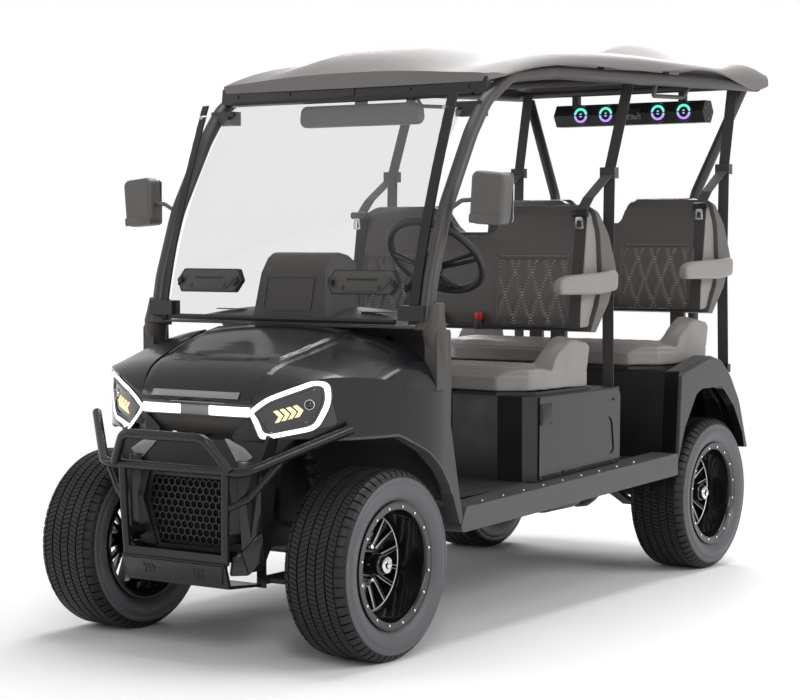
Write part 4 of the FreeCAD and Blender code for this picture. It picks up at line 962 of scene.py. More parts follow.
@dataclass
class Wheels(Assembly):
    """Four road tyres on deep-dished rims with milled spokes."""

    radius: float = 292.0
    axle_x: float = 493.5
    axle_y: float = 1087.0
    pitches: int = 60
    rib_edges: tuple = ((-80, -53), (-48, -19), (-14, 14), (19, 48), (53, 80))
    row_slants: tuple = (0.16, -0.2, 0.1, -0.2, 0.16)
    slant_reach: float = 2.2
    row_shares: tuple = (0.86, 0.9, 0.86, 0.9, 0.86)
    row_offset: float = 0.23
    block_edge: float = 0.9
    shoulder_share: float = 0.80
    groove: float = 7.0
    lip_bolts: int = 16
    lip_ring: float = 180.5
    lug_ring: float = 50.0
    spoke_rise: float = 12.0
    face_x: float = -2.0
    milled: float = 3.0

    def placed(self, form: Form, side: int, end: int) -> Form:
        """Move a left wheel's form to one corner of the cart."""
        if side < 0:
            bmesh.ops.scale(form, vec=(-1, 1, 1), verts=form.verts[:])
        bmesh.ops.translate(form, vec=(side * self.axle_x, end * self.axle_y, self.radius),
                            verts=form.verts[:])
        return form

    def carcass(self) -> Form:
        """Tyre body with rounded sidewalls, rim protector and groove floors."""
        floor = self.radius - self.groove
        side = [(99.3, 178.6), (99.3, 198), (104, 203), (112, 214), (116.5, 229), (117.5, 240),
                (116.6, 249), (114.4, 251), (114.0, 255), (115.6, 257.4), (115.2, 262),
                (112, 268.5), (108, 272), (103, 274.5), (97, 279), (84, floor), (40, floor)]
        form = bmesh.new()
        lathe(form, side + [(-x, r) for x, r in side[::-1]], 144)
        for face in form.faces:
            middle = face.calc_center_median()
            across = math.hypot(middle.y, middle.z)
            face.material_index = 0 if across > 266 or across < 190 else 1
        return form

    def tread(self) -> Form:
        """Rows of slanted tread blocks, with shoulder blocks that wrap over the edge."""
        form = bmesh.new()
        step = math.tau / self.pitches
        low, high = self.radius - self.groove - 1, self.radius
        for row, (x0, x1) in enumerate(self.rib_edges):
            slant = self.row_slants[row] * step * self.slant_reach
            share = self.row_shares[row]
            for half_pitch in (0, 1):
                start = step * (half_pitch * 0.5 + row * self.row_offset)
                span = step * 0.5 * share
                corners = []
                for x, lean in ((x0, -slant / 2), (x1, slant / 2)):
                    corners.append([(x, start + lean), (x, start + lean + span)])
                base = [corners[0][0], corners[1][0], corners[1][1], corners[0][1]]
                points = [Vector((x, low * math.sin(a), -low * math.cos(a))) for x, a in base]
                tops = plate(form, points, Vector((0, 0, 0)))
                verts = {vert for face in tops for vert in face.verts}
                for vert in verts:
                    angle = math.atan2(vert.co.y, -vert.co.z)
                    vert.co.y = high * math.sin(angle)
                    vert.co.z = -high * math.cos(angle)
                bevel(form, [edge for face in tops for edge in face.edges], self.block_edge)
        for side in (-1, 1):
            section = [(84, high - 0.3), (94, high - 3.6), (103, high - 10.5), (109.5, high - 20),
                       (112, high - 30)]
            inner = [(84, low), (94, low - 4), (101, low - 9), (105, low - 16), (108, low - 27)]
            outline = [(side * x, r) for x, r in section + inner[::-1]]
            span = step * self.shoulder_share
            face = form.faces.new([form.verts.new((x, 0, -r)) for x, r in outline])
            if side < 0:
                bmesh.ops.reverse_faces(form, faces=[face])
            made = bmesh.ops.extrude_face_region(form, geom=[face], use_keep_orig=True)["geom"]
            bmesh.ops.rotate(form, cent=(0, 0, 0), matrix=Matrix.Rotation(span, 3, "X"),
                             verts=only(made, Vertex))
        turned_copies(form, self.pitches)
        return form

    def rim_shell(self) -> Form:
        """Lip ring, deep barrel and inner flange in one turned form."""
        profile = [(107.5, 196), (107.5, 192), (105.5, 190), (104, 172), (101, 169.5), (88, 167),
                   (60, 165), (20, 162), (4, 160), (0, 155), (-12, 155), (-16, 161),
                   (-46, 166), (-92, 172), (-107.5, 186), (-107.5, 196), (-99.6, 196),
                   (-99.6, 177.8), (-58, 172), (-40, 169), (58, 171), (99.6, 177.8),
                   (99.6, 196)]
        form = bmesh.new()
        lathe(form, profile, 96)
        return form

    def spokes(self) -> Form:
        """Four lug arms with split spokes between them, every front edge milled bright."""
        form = bmesh.new()
        x0, x1 = self.face_x - 16, self.face_x

        def arm(points: list) -> None:
            """Add one arm from corners given as (angle in degrees, radius)."""
            outline = [Vector((x0, r * math.sin(math.radians(a)), r * math.cos(math.radians(a))))
                       for a, r in points]
            face = form.faces.new([form.verts.new(point) for point in outline])
            made = bmesh.ops.extrude_face_region(form, geom=[face], use_keep_orig=True)["geom"]
            verts = only(made, Vertex)
            bmesh.ops.translate(form, vec=(x1 - x0, 0, 0), verts=verts)
            for vert in verts:
                vert.co.x += self.spoke_rise * (math.hypot(vert.co.y, vert.co.z) - 60) / 100
            tops = only(made, Face)
            rim = [edge for face in tops for edge in face.edges]
            for part in bevel(form, rim, self.milled):
                part.material_index = 1

        for side in (-1, 1):
            arm([(side * 2, 58), (side * 7.5, 100), (side * 9.5, 153), (side * 14.5, 153),
                 (side * 15.5, 96), (side * 17, 58)])
            arm([(45 - side * 2.5, 58), (45 - side * 5.5, 96), (45 - side * 9, 153),
                 (45 - side * 14, 153), (45 - side * 13.5, 92), (45 - side * 15, 58)])
        arm([(-24, 34), (-22, 62), (-8, 74), (8, 74), (22, 62), (24, 34)])
        turned_copies(form, 4)
        return form

    def ring_face(self) -> Form:
        """Ring that joins the spokes at the barrel, with a milled inner edge, and the hub."""
        form = bmesh.new()
        x = self.face_x
        lathe(form, [(x + 12, 157), (x + 12, 149), (x + 10, 147), (x - 4, 147), (x - 4, 157)], 96)
        for face in form.faces:
            middle = face.calc_center_median()
            if x + 10.2 < middle.x < x + 11.9:
                face.material_index = 1
        lathe(form, [(x + 1, 60), (x + 1, 34), (x - 16, 34), (x - 16, 60)], 64)
        lathe(form, [(x, 34.5), (x + 58, 33), (x + 60, 31), (x + 60, 20), (x - 10, 20),
                     (x - 10, 34.5)], 48)
        return form

    def bright_parts(self) -> Form:
        """Chrome cap, four lug nuts and the small bolts of the lip."""
        form = bmesh.new()
        x = self.face_x
        lathe(form, [(x + 56, 0.01), (x + 56, 28), (x + 70, 28), (x + 76, 25), (x + 78, 18),
                     (x + 78, 0.01)], 32)
        lathe(form, [(x + 77, 0.01), (x + 77, 13), (x + 84, 12), (x + 86, 8), (x + 86, 0.01)], 24)
        for i in range(4):
            nut = bmesh.new()
            lathe(nut, [(x - 2, 0.01), (x - 2, 9.5), (x + 16, 9.5), (x + 19, 8), (x + 21, 4.5),
                        (x + 21, 0.01)], 6)
            bmesh.ops.translate(nut, vec=(0, 0, self.lug_ring), verts=nut.verts[:])
            join(form, nut, Matrix.Rotation(math.tau * i / 4, 4, "X"))
        for i in range(self.lip_bolts):
            bolt = bmesh.new()
            lathe(bolt, [(102, 0.01), (102, 4.4), (106.6, 4.4), (108, 2.6), (108, 0.01)], 10)
            bmesh.ops.translate(bolt, vec=(0, 0, self.lip_ring), verts=bolt.verts[:])
            join(form, bolt, Matrix.Rotation(math.tau * (i + 0.5) / self.lip_bolts, 4, "X"))
        bmesh.ops.remove_doubles(form, verts=form.verts[:], dist=0.02)
        return form

    def build(self) -> None:
        """Make the tyre, tread, rim, spokes, hub and nuts of every corner."""
        tyre, rim = "tyre_rubber", "rim_black"
        for corner, (side, end) in CORNERS.items():
            for name, draw, finishes, slot, sharp_deg, replaces in (
                    ("carcass", self.carcass, [tyre, "sidewall_rubber"], tyre, 50.0,
                     (f"tyre_{corner}",)),
                    ("tread", self.tread, [tyre], tyre, 30.0, ()),
                    ("barrel", self.rim_shell, [rim], rim, 30.0, (f"rim_{corner}",)),
                    ("spokes", self.spokes, [rim, "machined_face"], rim, 20.0, ()),
                    ("hub", self.ring_face, [rim, "machined_face"], rim, 30.0, ()),
                    ("nuts", self.bright_parts, ["chrome"], "bright_steel", 30.0, ())):
                self.put(self.placed(draw(), side, end), f"{name}_{corner}", finishes,
                         f"wheel_{corner}", slot, sharp_deg, replaces)


# Seats

# Each bench with its shift to the rear and upwards
BENCHES = {"front": (0.0, 0.0), "rear": (955.0, 40.0)}


@dataclass
class Seats(Assembly):
    """Two benches of cloth-blown cushions with quilted backs, wings and armrests."""

    voxel: float = 9.0
    arm_voxel: float = 6.0
    arm_cap: float = 3.0
    pressure: float = 4.0
    stretch_stiffness: float = 40.0
    bend_stiffness: float = 2.0
    frames: int = 20
    shrink: float = 5.0
    cap: float = 9.0
    quilt_x: tuple = (150.0, 440.0)
    quilt_z: tuple = (955.0, 1212.0)
    diamond: tuple = (72.0, 165.0)
    groove: float = 7.0
    groove_reach: float = 8.0
    edge_reach: float = 7.0
    wing_front: float = 458.0
    wing_side: float = 478.0
    plump: float = 2.4
    bolster_x: float = 424.0
    bolster_turn: float = 16.0
    bolster_floor: float = 800.0
    bolster_z: tuple = (830.0, 936.0)
    seat_z: float = 846.0
    seat_crown: float = 6.0
    cell: tuple = (63.0, 62.0)
    cells_x: tuple = (90.0, 405.0)
    cells_y: tuple = (-95.0, 215.0)
    tuck_depth: float = 2.6
    tuck_reach: float = 5.0
    seam_z: float = 812.0
    seam_depth: float = 2.2
    seam_reach: float = 3.6
    over_seat: float = 1000.0
    ramp: tuple = ((-200.0, 831.0), (-63.0, 834.0), (137.0, 889.0), (259.0, 938.0))
    rise: tuple = (10.0, 105.0)
    line_steps: int = 8
    stitch: float = 5.6
    stitch_pitch: float = 8.4

    def blown(self, form: Form, name: str, cap: float, shape=None,
              voxel: float = 0.0) -> Piece:
        """Remesh a form evenly, blow it up as cloth, cap the swell and subdivide it.

        Args:
            form: A closed form in metres. It is freed.
            name: The new piece's name.
            cap: The farthest that a point may move, in millimetres.
            shape: A function that moves the remeshed points first, if any.
            voxel: The remesh's own step in millimetres, if it isn't the usual one.

        Returns:
            The piece, with the simulation applied.
        """
        piece = new_object(name, mesh_of(form, name))
        remesh = piece.modifiers.new("remesh", "REMESH")
        remesh.mode = "VOXEL"
        remesh.voxel_size = (voxel or self.voxel) * MM
        self.apply(piece)
        self.press(piece, lambda *place: self.shrink)
        mesh = piece.data
        if shape is not None:
            for vert in mesh.vertices:
                shape(vert)
        mesh.update()
        start = [vert.co.copy() for vert in mesh.vertices]
        self.inflate(piece)
        for vert, first in zip(piece.data.vertices, start):
            way = vert.co - first
            if way.length > cap * MM:
                vert.co = first + way.normalized() * cap * MM
        soften = piece.modifiers.new("soften", "SMOOTH")
        soften.factor = 0.5
        soften.iterations = 2
        finer = piece.modifiers.new("finer", "SUBSURF")
        finer.levels = 1
        finer.render_levels = 1
        self.apply(piece)
        piece.data.shade_smooth()
        return piece

    def inflate(self, piece: Piece) -> None:
        """Run the cloth simulation on a piece and keep its last frame."""
        cloth = piece.modifiers.new("cloth", "CLOTH")
        settings = cloth.settings
        settings.use_pressure = True
        settings.uniform_pressure_force = self.pressure
        settings.tension_stiffness = settings.compression_stiffness = self.stretch_stiffness
        settings.bending_stiffness = self.bend_stiffness
        settings.effector_weights.gravity = 0.0
        cloth.point_cache.frame_start = 1
        cloth.point_cache.frame_end = self.frames
        scene = bpy.context.scene
        for number in range(1, self.frames + 1):
            scene.frame_set(number)
        self.apply(piece)
        scene.frame_set(1)

    def apply(self, piece: Piece) -> None:
        """Make a piece's modified shape its own mesh."""
        shaped = piece.evaluated_get(bpy.context.evaluated_depsgraph_get())
        mesh = bpy.data.meshes.new_from_object(shaped)
        old = piece.data
        piece.modifiers.clear()
        piece.data = mesh
        bpy.data.meshes.remove(old)

    def bolster(self, shift: tuple):
        """A function that raises a cushion's outer ends into rounded bolsters."""
        def height(y: float) -> float:
            """Top of the plain cushion at y."""
            for (y0, z0), (y1, z1) in zip(self.ramp, self.ramp[1:]):
                if y <= y1:
                    return z0 + (z1 - z0) * max(0.0, (y - y0) / (y1 - y0))
            return self.ramp[-1][1]

        def move(vert: bpy.types.MeshVertex) -> None:
            """Raise one vertex."""
            x, y = abs(vert.co.x) / MM, (vert.co.y - FRAME_SHIFT) / MM - shift[0]
            z = vert.co.z / MM - shift[1]
            across = min(1.0, max(0.0, (x - self.bolster_x) / self.bolster_turn))
            across = across * across * (3 - 2 * across)
            low, high = self.rise
            share = min(1.0, max(0.0, (y - low) / (high - low)))
            share = share ** 0.55
            top = height(y)
            front, rear = self.bolster_z
            wanted = front + (rear - front) * share
            crown = self.seat_crown * math.sin(max(0.0, y + 60) / 320 * math.pi)
            seat = min(top, self.seat_z + crown)
            goal = seat + (wanted - seat) * across
            if z > self.bolster_floor:
                z = self.bolster_floor + (z - self.bolster_floor) * (
                    (goal - self.bolster_floor) / (top - self.bolster_floor))
                vert.co.z = (z + shift[1]) * MM
        return move

    def quilt_depth(self, x: float, z: float) -> float:
        """Distance in mm to the nearest line of the diamond quilting."""
        wide, tall = self.diamond
        slope = wide / tall
        run = math.sqrt(1 + slope * slope)
        low = self.quilt_z[0] + 0.25 * tall
        best = 99.0
        for way in (-1, 1):
            place = (x - self.quilt_x[0] - way * slope * (z - low)) / wide
            best = min(best, abs(place - round(place)) * wide / run)
        return best

    def press(self, piece: Piece, depth, shift: tuple = BENCHES["front"]) -> None:
        """Move a piece's points inwards along their normals.

        Args:
            piece: The piece that is pressed.
            depth: Gives a point's depth in millimetres from its distance to the middle, its y
                and z on the front bench, and its normal.
            shift: The bench's shift to the rear and upwards.
        """
        mesh = piece.data
        normals = [vert.normal.copy() for vert in mesh.vertices]
        for vert, normal in zip(mesh.vertices, normals):
            x, y = abs(vert.co.x) / MM, (vert.co.y - FRAME_SHIFT) / MM - shift[0]
            z = vert.co.z / MM - shift[1]
            vert.co -= normal * depth(x, y, z, normal) * MM
        mesh.update()

    def quilt(self, x: float, y: float, z: float, normal: Vector) -> float:
        """Depth of the diamond channels and of the panel's frame in a seat back."""
        if normal.y > -0.5:
            return 0.0
        (x0, x1), (z0, z1) = self.quilt_x, self.quilt_z
        edge = max(x0 - x, x - x1, z0 - z, z - z1)
        if edge >= 0:
            return self.groove * math.exp(-(edge / self.edge_reach) ** 2)
        near = min(self.quilt_depth(x, z), -edge)
        return self.groove * math.exp(-(near / self.groove_reach) ** 2) - self.plump

    def tuck(self, x: float, y: float, z: float, normal: Vector) -> float:
        """Depth of the light square quilting and of the seam round a cushion."""
        (x0, x1), (y0, y1), (wide, deep) = self.cells_x, self.cells_y, self.cell
        sink = 0.0
        if normal.z > 0.6 and x0 < x < x1 and y0 < y < y1:
            across = abs((x - x0) % wide - wide / 2)
            along = abs((y - y0) % deep - deep / 2)
            near = min(wide / 2 - across, deep / 2 - along)
            sink = self.tuck_depth * math.exp(-(near / self.tuck_reach) ** 2) - 1.0
        if abs(z - self.seam_z) < 9 and abs(normal.z) < 0.75:
            sink += self.seam_depth * math.exp(-((z - self.seam_z) / self.seam_reach) ** 2)
        return sink

    def finish_areas(self, piece: Piece) -> None:
        """Give the wings at the outer ends the paler vinyl."""
        for face in piece.data.polygons:
            x = abs(face.center.x) / MM
            if x > self.wing_front and face.normal.y < 0.86 or x > self.wing_side:
                face.material_index = 1

    def stitches(self, lines: list, surface: Piece, side: Vector, name: str,
                 body: str, twin: float = 0.0) -> None:
        """Sew thread stitches along lines, on the surface that they meet.

        Args:
            lines: Lists of points in metres, in front of the surface.
            surface: The piece that is sewn.
            side: The direction in which to look for the surface.
            name: The new piece's name.
            body: The body that it rides on.
            twin: Half the distance between two rows in mm, or 0 for one row.
        """
        shaped = surface.evaluated_get(bpy.context.evaluated_depsgraph_get())
        form = bmesh.new()
        reach, pitch = self.stitch * MM, self.stitch_pitch * MM
        for line in lines:
            for start, end in zip(line, line[1:]):
                run = end - start
                count = int(run.length / pitch)
                for row in ((-1, 1) if twin else (0,)):
                    beside = run.normalized().cross(side) * twin * MM * row
                    for k in range(count):
                        first = start + run * ((k + 0.15) / max(1, count)) + beside
                        last = first + run.normalized() * reach
                        hits = [shaped.ray_cast(point, side) for point in (first, last)]
                        if hits[0][0] and hits[1][0] and (hits[0][1] - hits[1][1]).length < 0.02:
                            self.one_stitch(form, hits[0][1], hits[1][1], hits[0][2])
        to_drawing(form)
        self.put(form, name, ["thread"], body, "seat_vinyl")

    def one_stitch(self, form: Form, start: Vector, end: Vector, up: Vector) -> None:
        """Add one thread stitch, a low bump with tapered ends."""
        side = (end - start).cross(up).normalized() * 1.8 * MM
        middle = (start + end) / 2 + up * 1.2 * MM
        low, high = start - up * 0.5 * MM, end - up * 0.5 * MM
        verts = [form.verts.new(point) for point in
                 (low, middle + side - up * 0.9 * MM, high, middle - side - up * 0.9 * MM,
                  middle, (start + end) / 2 - up * 1.6 * MM)]
        for a, b in ((0, 1), (1, 2), (2, 3), (3, 0)):
            form.faces.new((verts[a], verts[b], verts[4]))
            form.faces.new((verts[b], verts[a], verts[5]))

    def quilt_lines(self, shift: tuple) -> list:
        """Centre lines of the diamond quilting on both halves of a bench."""
        wide, tall = self.diamond
        slope = wide / tall
        (x0, x1), (z0, z1) = self.quilt_x, self.quilt_z
        low = z0 + 0.25 * tall
        lines = []
        for way in (-1, 1):
            for k in range(-4, 9):
                line = []
                for step in range(self.line_steps + 1):
                    z = z0 + 6 + (z1 - z0 - 12) * step / self.line_steps
                    x = x0 + way * slope * (z - low) + k * wide
                    if x0 + 3 <= x <= x1 - 3:
                        line.append((x, z))
                for mirror in (-1, 1):
                    lines.append([at(mirror * x, shift[0], z + shift[1]) for x, z in line])
        return lines

    def back(self, bench: str, shift: tuple) -> None:
        """One bench's back: blown form, quilting, stitches and piping round the wings."""
        node = f"{bench}_seat_back"
        piece = self.blown(merged(node), f"{bench}_back_pad", self.cap)
        self.press(piece, self.quilt, shift)
        self.finish_areas(piece)
        self.dress(piece, ["dark_vinyl", "seat_vinyl"], "root", "seat_vinyl", (node,))
        behind = Vector((0, 1, 0))
        self.stitches(self.quilt_lines(shift), piece, behind, f"{bench}_quilt_thread", "root", 3.2)
        rows = []
        for mirror in (-1, 1):
            rows.append([at(mirror * self.quilt_x[0], shift[0], z + shift[1])
                         for z in range(960, 1216, 42)])
            rows.append([at(mirror * x, shift[0], self.quilt_z[1] + 7 + shift[1])
                         for x in range(155, 446, 48)])
        self.stitches(rows, piece, behind, f"{bench}_panel_thread", "root")

    def cushion(self, bench: str, shift: tuple) -> None:
        """One bench's cushion: blown form with bolsters, light quilting and an edge seam."""
        node = f"{bench}_cushion"
        body = f"{bench}_lid"
        piece = self.blown(merged(node), f"{bench}_seat_pad", self.cap, self.bolster(shift))
        self.press(piece, self.tuck, shift)
        self.dress(piece, ["seat_vinyl"], body, "seat_vinyl", (node,))
        rows = []
        (x0, _), (y0, _), (wide, deep) = self.cells_x, self.cells_y, self.cell
        height = self.over_seat + shift[1]
        for xs, ys in ([((x0 + wide * number,), range(-90, 216, 60)) for number in range(1, 5)]
                       + [(range(92, 406, 60), (y0 + deep * number,)) for number in range(1, 5)]):
            for mirror in (-1, 1):
                rows.append([at(mirror * x, y + shift[0], height) for x in xs for y in ys])
        self.stitches(rows, piece, Vector((0, 0, -1)), f"{bench}_seat_thread", body)

    def arms(self) -> None:
        """Thick blown armrests beside both seat backs."""
        form = bmesh.new()
        outline = rounded([(-34, 1084), (-34, 1138), (30, 1160), (372, 1172), (392, 1158),
                           (388, 1092), (280, 1074), (30, 1078)],
                          [22, 24, 40, 18, 16, 22, 60, 40], 5, 3)
        for dy, dz in BENCHES.values():
            plate(form, [Vector((519, y + dy, z + dz)) for y, z in outline], Vector((47, 0, 0)))
        round_edges(form, 13.0, 50, 3)
        mirror_too(form)
        to_frame(form)
        piece = self.blown(form, "armrest_pads", self.arm_cap, voxel=self.arm_voxel)
        self.dress(piece, ["seat_vinyl"], "root", "seat_vinyl", ("armrests",))

    def build(self) -> None:
        """Make both benches."""
        for bench, shift in BENCHES.items():
            self.back(bench, shift)
            self.cushion(bench, shift)
        self.arms()


# Nose: the surfaces that details lie on, the lamps and the hood

class Skin:
    """The outer surface of some frame pieces, on which details are laid."""

    CLOSE_RAYS = ((0, 0), (4, 0), (-4, 0), (0, 4), (0, -4))
    BEFORE, BESIDE, ABOVE = -1700, 900, 2500
    FLANK, DECK = 540, 500

    def __init__(self, *nodes: str) -> None:
        """Gather the pieces' triangles."""
        form = bmesh.new()
        for node in nodes:
            form.from_mesh(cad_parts[node].data)
        self.tree = BVHTree.FromBMesh(form)
        self.first_y = min(vert.co.y for vert in form.verts) / MM - FRAME_SHIFT / MM
        form.free()

    def front(self, x: float, z: float, proud: float = 0.0) -> Vector:
        """The surface point seen from the front at (x, z), moved forward by a distance.

        The foremost of five close rays counts, so that narrow gaps are bridged. Beside the
        surface, the depth of its nearest point is used.
        """
        places = [self.tree.ray_cast(at(x + dx, self.BEFORE, z + dz), Vector((0, 1, 0)))[0]
                  for dx, dz in self.CLOSE_RAYS]
        places = [place for place in places if place is not None]
        if not places:
            places = [self.tree.find_nearest(at(x, self.first_y, z))[0]]
        return Vector((x, (min(place.y for place in places) - FRAME_SHIFT) / MM - proud, z))

    def smooth_front(self, outline: list, proud: float) -> list:
        """The surface points of a closed outline, with depths evened out along it."""
        points = [self.front(x, z, proud) for x, z in outline]
        count = len(points)
        return [Vector((point.x, sum(points[(i + k) % count].y for k in range(-3, 4)) / 7,
                        point.z)) for i, point in enumerate(points)]

    def side(self, side: int, y: float, z: float, proud: float) -> Vector:
        """The surface point seen from the side at (y, z), moved outwards by a distance."""
        place = self.tree.ray_cast(at(side * self.BESIDE, y, z), Vector((-side, 0, 0)))[0]
        if place is None:
            place = self.tree.find_nearest(at(side * self.FLANK, y, z))[0]
        return Vector((place.x / MM + side * proud, y, z))

    def top(self, x: float, y: float) -> Vector:
        """The surface point seen from above at (x, y)."""
        place = self.tree.ray_cast(at(x, y, self.ABOVE), Vector((0, 0, -1)))[0]
        if place is None:
            place = self.tree.find_nearest(at(x, y, self.DECK))[0]
        return Vector((x, y, place.z / MM))


@dataclass
class Lamps(Assembly):
    """Headlamps with light rings, amber arrows and a projector, joined by a light bar."""

    outline: tuple = ((203, 756), (262, 802), (402, 858), (440, 850), (446, 790), (412, 704),
                      (264, 670))
    corner_radii: tuple = (4, 34, 30, 26, 40, 30, 26)
    rim: float = 2.0
    ring: float = 14.5
    bar_half: float = 14.5
    bar_z: float = 755.0
    badge_half: float = 56.0
    arrows: int = 4
    arrow: tuple = ((-12, 15), (-1, 19), (16, 3), (5, -17), (-7, -20), (4, -1))
    arrow_start: tuple = (300.0, 745.0)
    arrow_step: tuple = (18.5, 5.6)
    projector: tuple = (388.0, 782.0)
    projector_turn_deg: float = -62.0
    bar_end: float = 214.0

    def outlines(self, inset: float) -> list:
        """The lamp's rounded outline, moved inwards."""
        corners = grown([*self.outline][::-1], -inset)[::-1]
        radii = [max(3.0, radius - inset * 0.5) for radius in self.corner_radii]
        return rounded(corners, radii, 6, 7)

    def hoop(self, skin: Skin, outer: float, inner: float, proud: float, depth: float) -> Form:
        """A flat hoop on the lamp between two insets of its outline."""
        form = bmesh.new()
        loops = [skin.smooth_front(self.outlines(inset), proud) for inset in (outer, inner)]
        band(form, loops[0], loops[1], Vector((0, depth, 0)))
        return form

    def build(self) -> None:
        """Make the light hoops, housings, arrows, projectors and the bar."""
        skin = Skin("front_lamps", "front_cowl", "front_fascia")
        hoops = (("lamp_rims", 0.6, self.rim, 3.0, 5.0, "sill_plastic"),
                 ("light_rings", self.rim + 0.5, self.rim + self.ring, 2.4, 5.0, "lamp_glow"),
                 ("lamp_steps", self.rim + self.ring + 1, self.rim + self.ring + 7, 1.6, 4.0,
                  "lamp_housing"),
                 ("lamp_inner_steps", self.rim + self.ring + 9, self.rim + self.ring + 15, 0.9,
                  3.0, "lamp_housing"))
        for name, outer, inner, proud, depth, finish in hoops:
            form = self.hoop(skin, outer, inner, proud, depth)
            round_edges(form, 1.2, 60)
            mirror_too(form)
            self.put(form, name, [finish], "root", "lamp_lens")
        self.arrow_marks(skin)
        self.projectors(skin)
        self.bar_pieces(skin)

    def arrow_marks(self, skin: Skin) -> None:
        """Amber turn arrows in a row."""
        loops = []
        for i in range(self.arrows):
            x0, z0 = (start + i * step for start, step in zip(self.arrow_start, self.arrow_step))
            loops.append([skin.front(x0 + x, z0 + z, 2.2) for x, z in self.arrow])
        self.slab("turn_arrows", loops, (0, 4, 0), "amber_glow", 0.8, 50, True, "lamp_lens")

    def projectors(self, skin: Skin) -> None:
        """A small projector lens in a bright collar beside the arrows."""
        place = skin.front(*self.projector)
        for name, finish, profile in (
                ("projector_collars", "chrome",
                 [(-2, 17), (3, 17), (5, 15.5), (5, 13.5), (-2, 13.5)]),
                ("projector_lenses", "screen_glass",
                 [(-2, 0.01), (7.5, 0.01), (7, 5), (5, 9.5), (2, 13), (-2, 13)])):
            form = turned_part(profile, 28)
            bmesh.ops.rotate(form, cent=(0, 0, 0), verts=form.verts[:],
                             matrix=Matrix.Rotation(math.radians(self.projector_turn_deg), 3, "Z"))
            bmesh.ops.translate(form, vec=place, verts=form.verts[:])
            mirror_too(form)
            self.put(form, name, [finish], "root", "lamp_lens")

    def bar_pieces(self, skin: Skin) -> None:
        """The light bar's two lit halves, the blank badge between them and their housing."""
        steps = 14
        for name, finish, x0, x1, half, proud in (
                ("light_bar", "lamp_glow", self.badge_half + 1, self.bar_end, self.bar_half, 2.4),
                ("bar_badge", "highlight_and_badge_grey", -self.badge_half, self.badge_half, self.bar_half, 3.2)):
            form = bmesh.new()
            xs = [x0 + (x1 - x0) * k / steps for k in range(steps + 1)]
            depths = [min(skin.front(x, self.bar_z + z).y for z in (-10, 0, 10)) for x in xs]
            sleeve(form, [[Vector((x, y + back, self.bar_z + z))
                           for back, z in ((-proud, -half), (-proud, half), (4, half),
                                           (4, -half))] for x, y in zip(xs, depths)])
            round_edges(form, 1.5, 60)
            if name == "light_bar":
                mirror_too(form)
            self.put(form, name, [finish], "root", "lamp_lens")
        form = bmesh.new()
        for z in (self.bar_z + self.bar_half + 2.5, self.bar_z - self.bar_half - 2.5):
            line = [skin.front(-208 + 26 * k, z, 1.6) for k in range(17)]
            bar(form, line, [1.9] * len(line), 8)
        self.put(form, "bar_trim", ["lamp_housing"], "root", "lamp_lens")


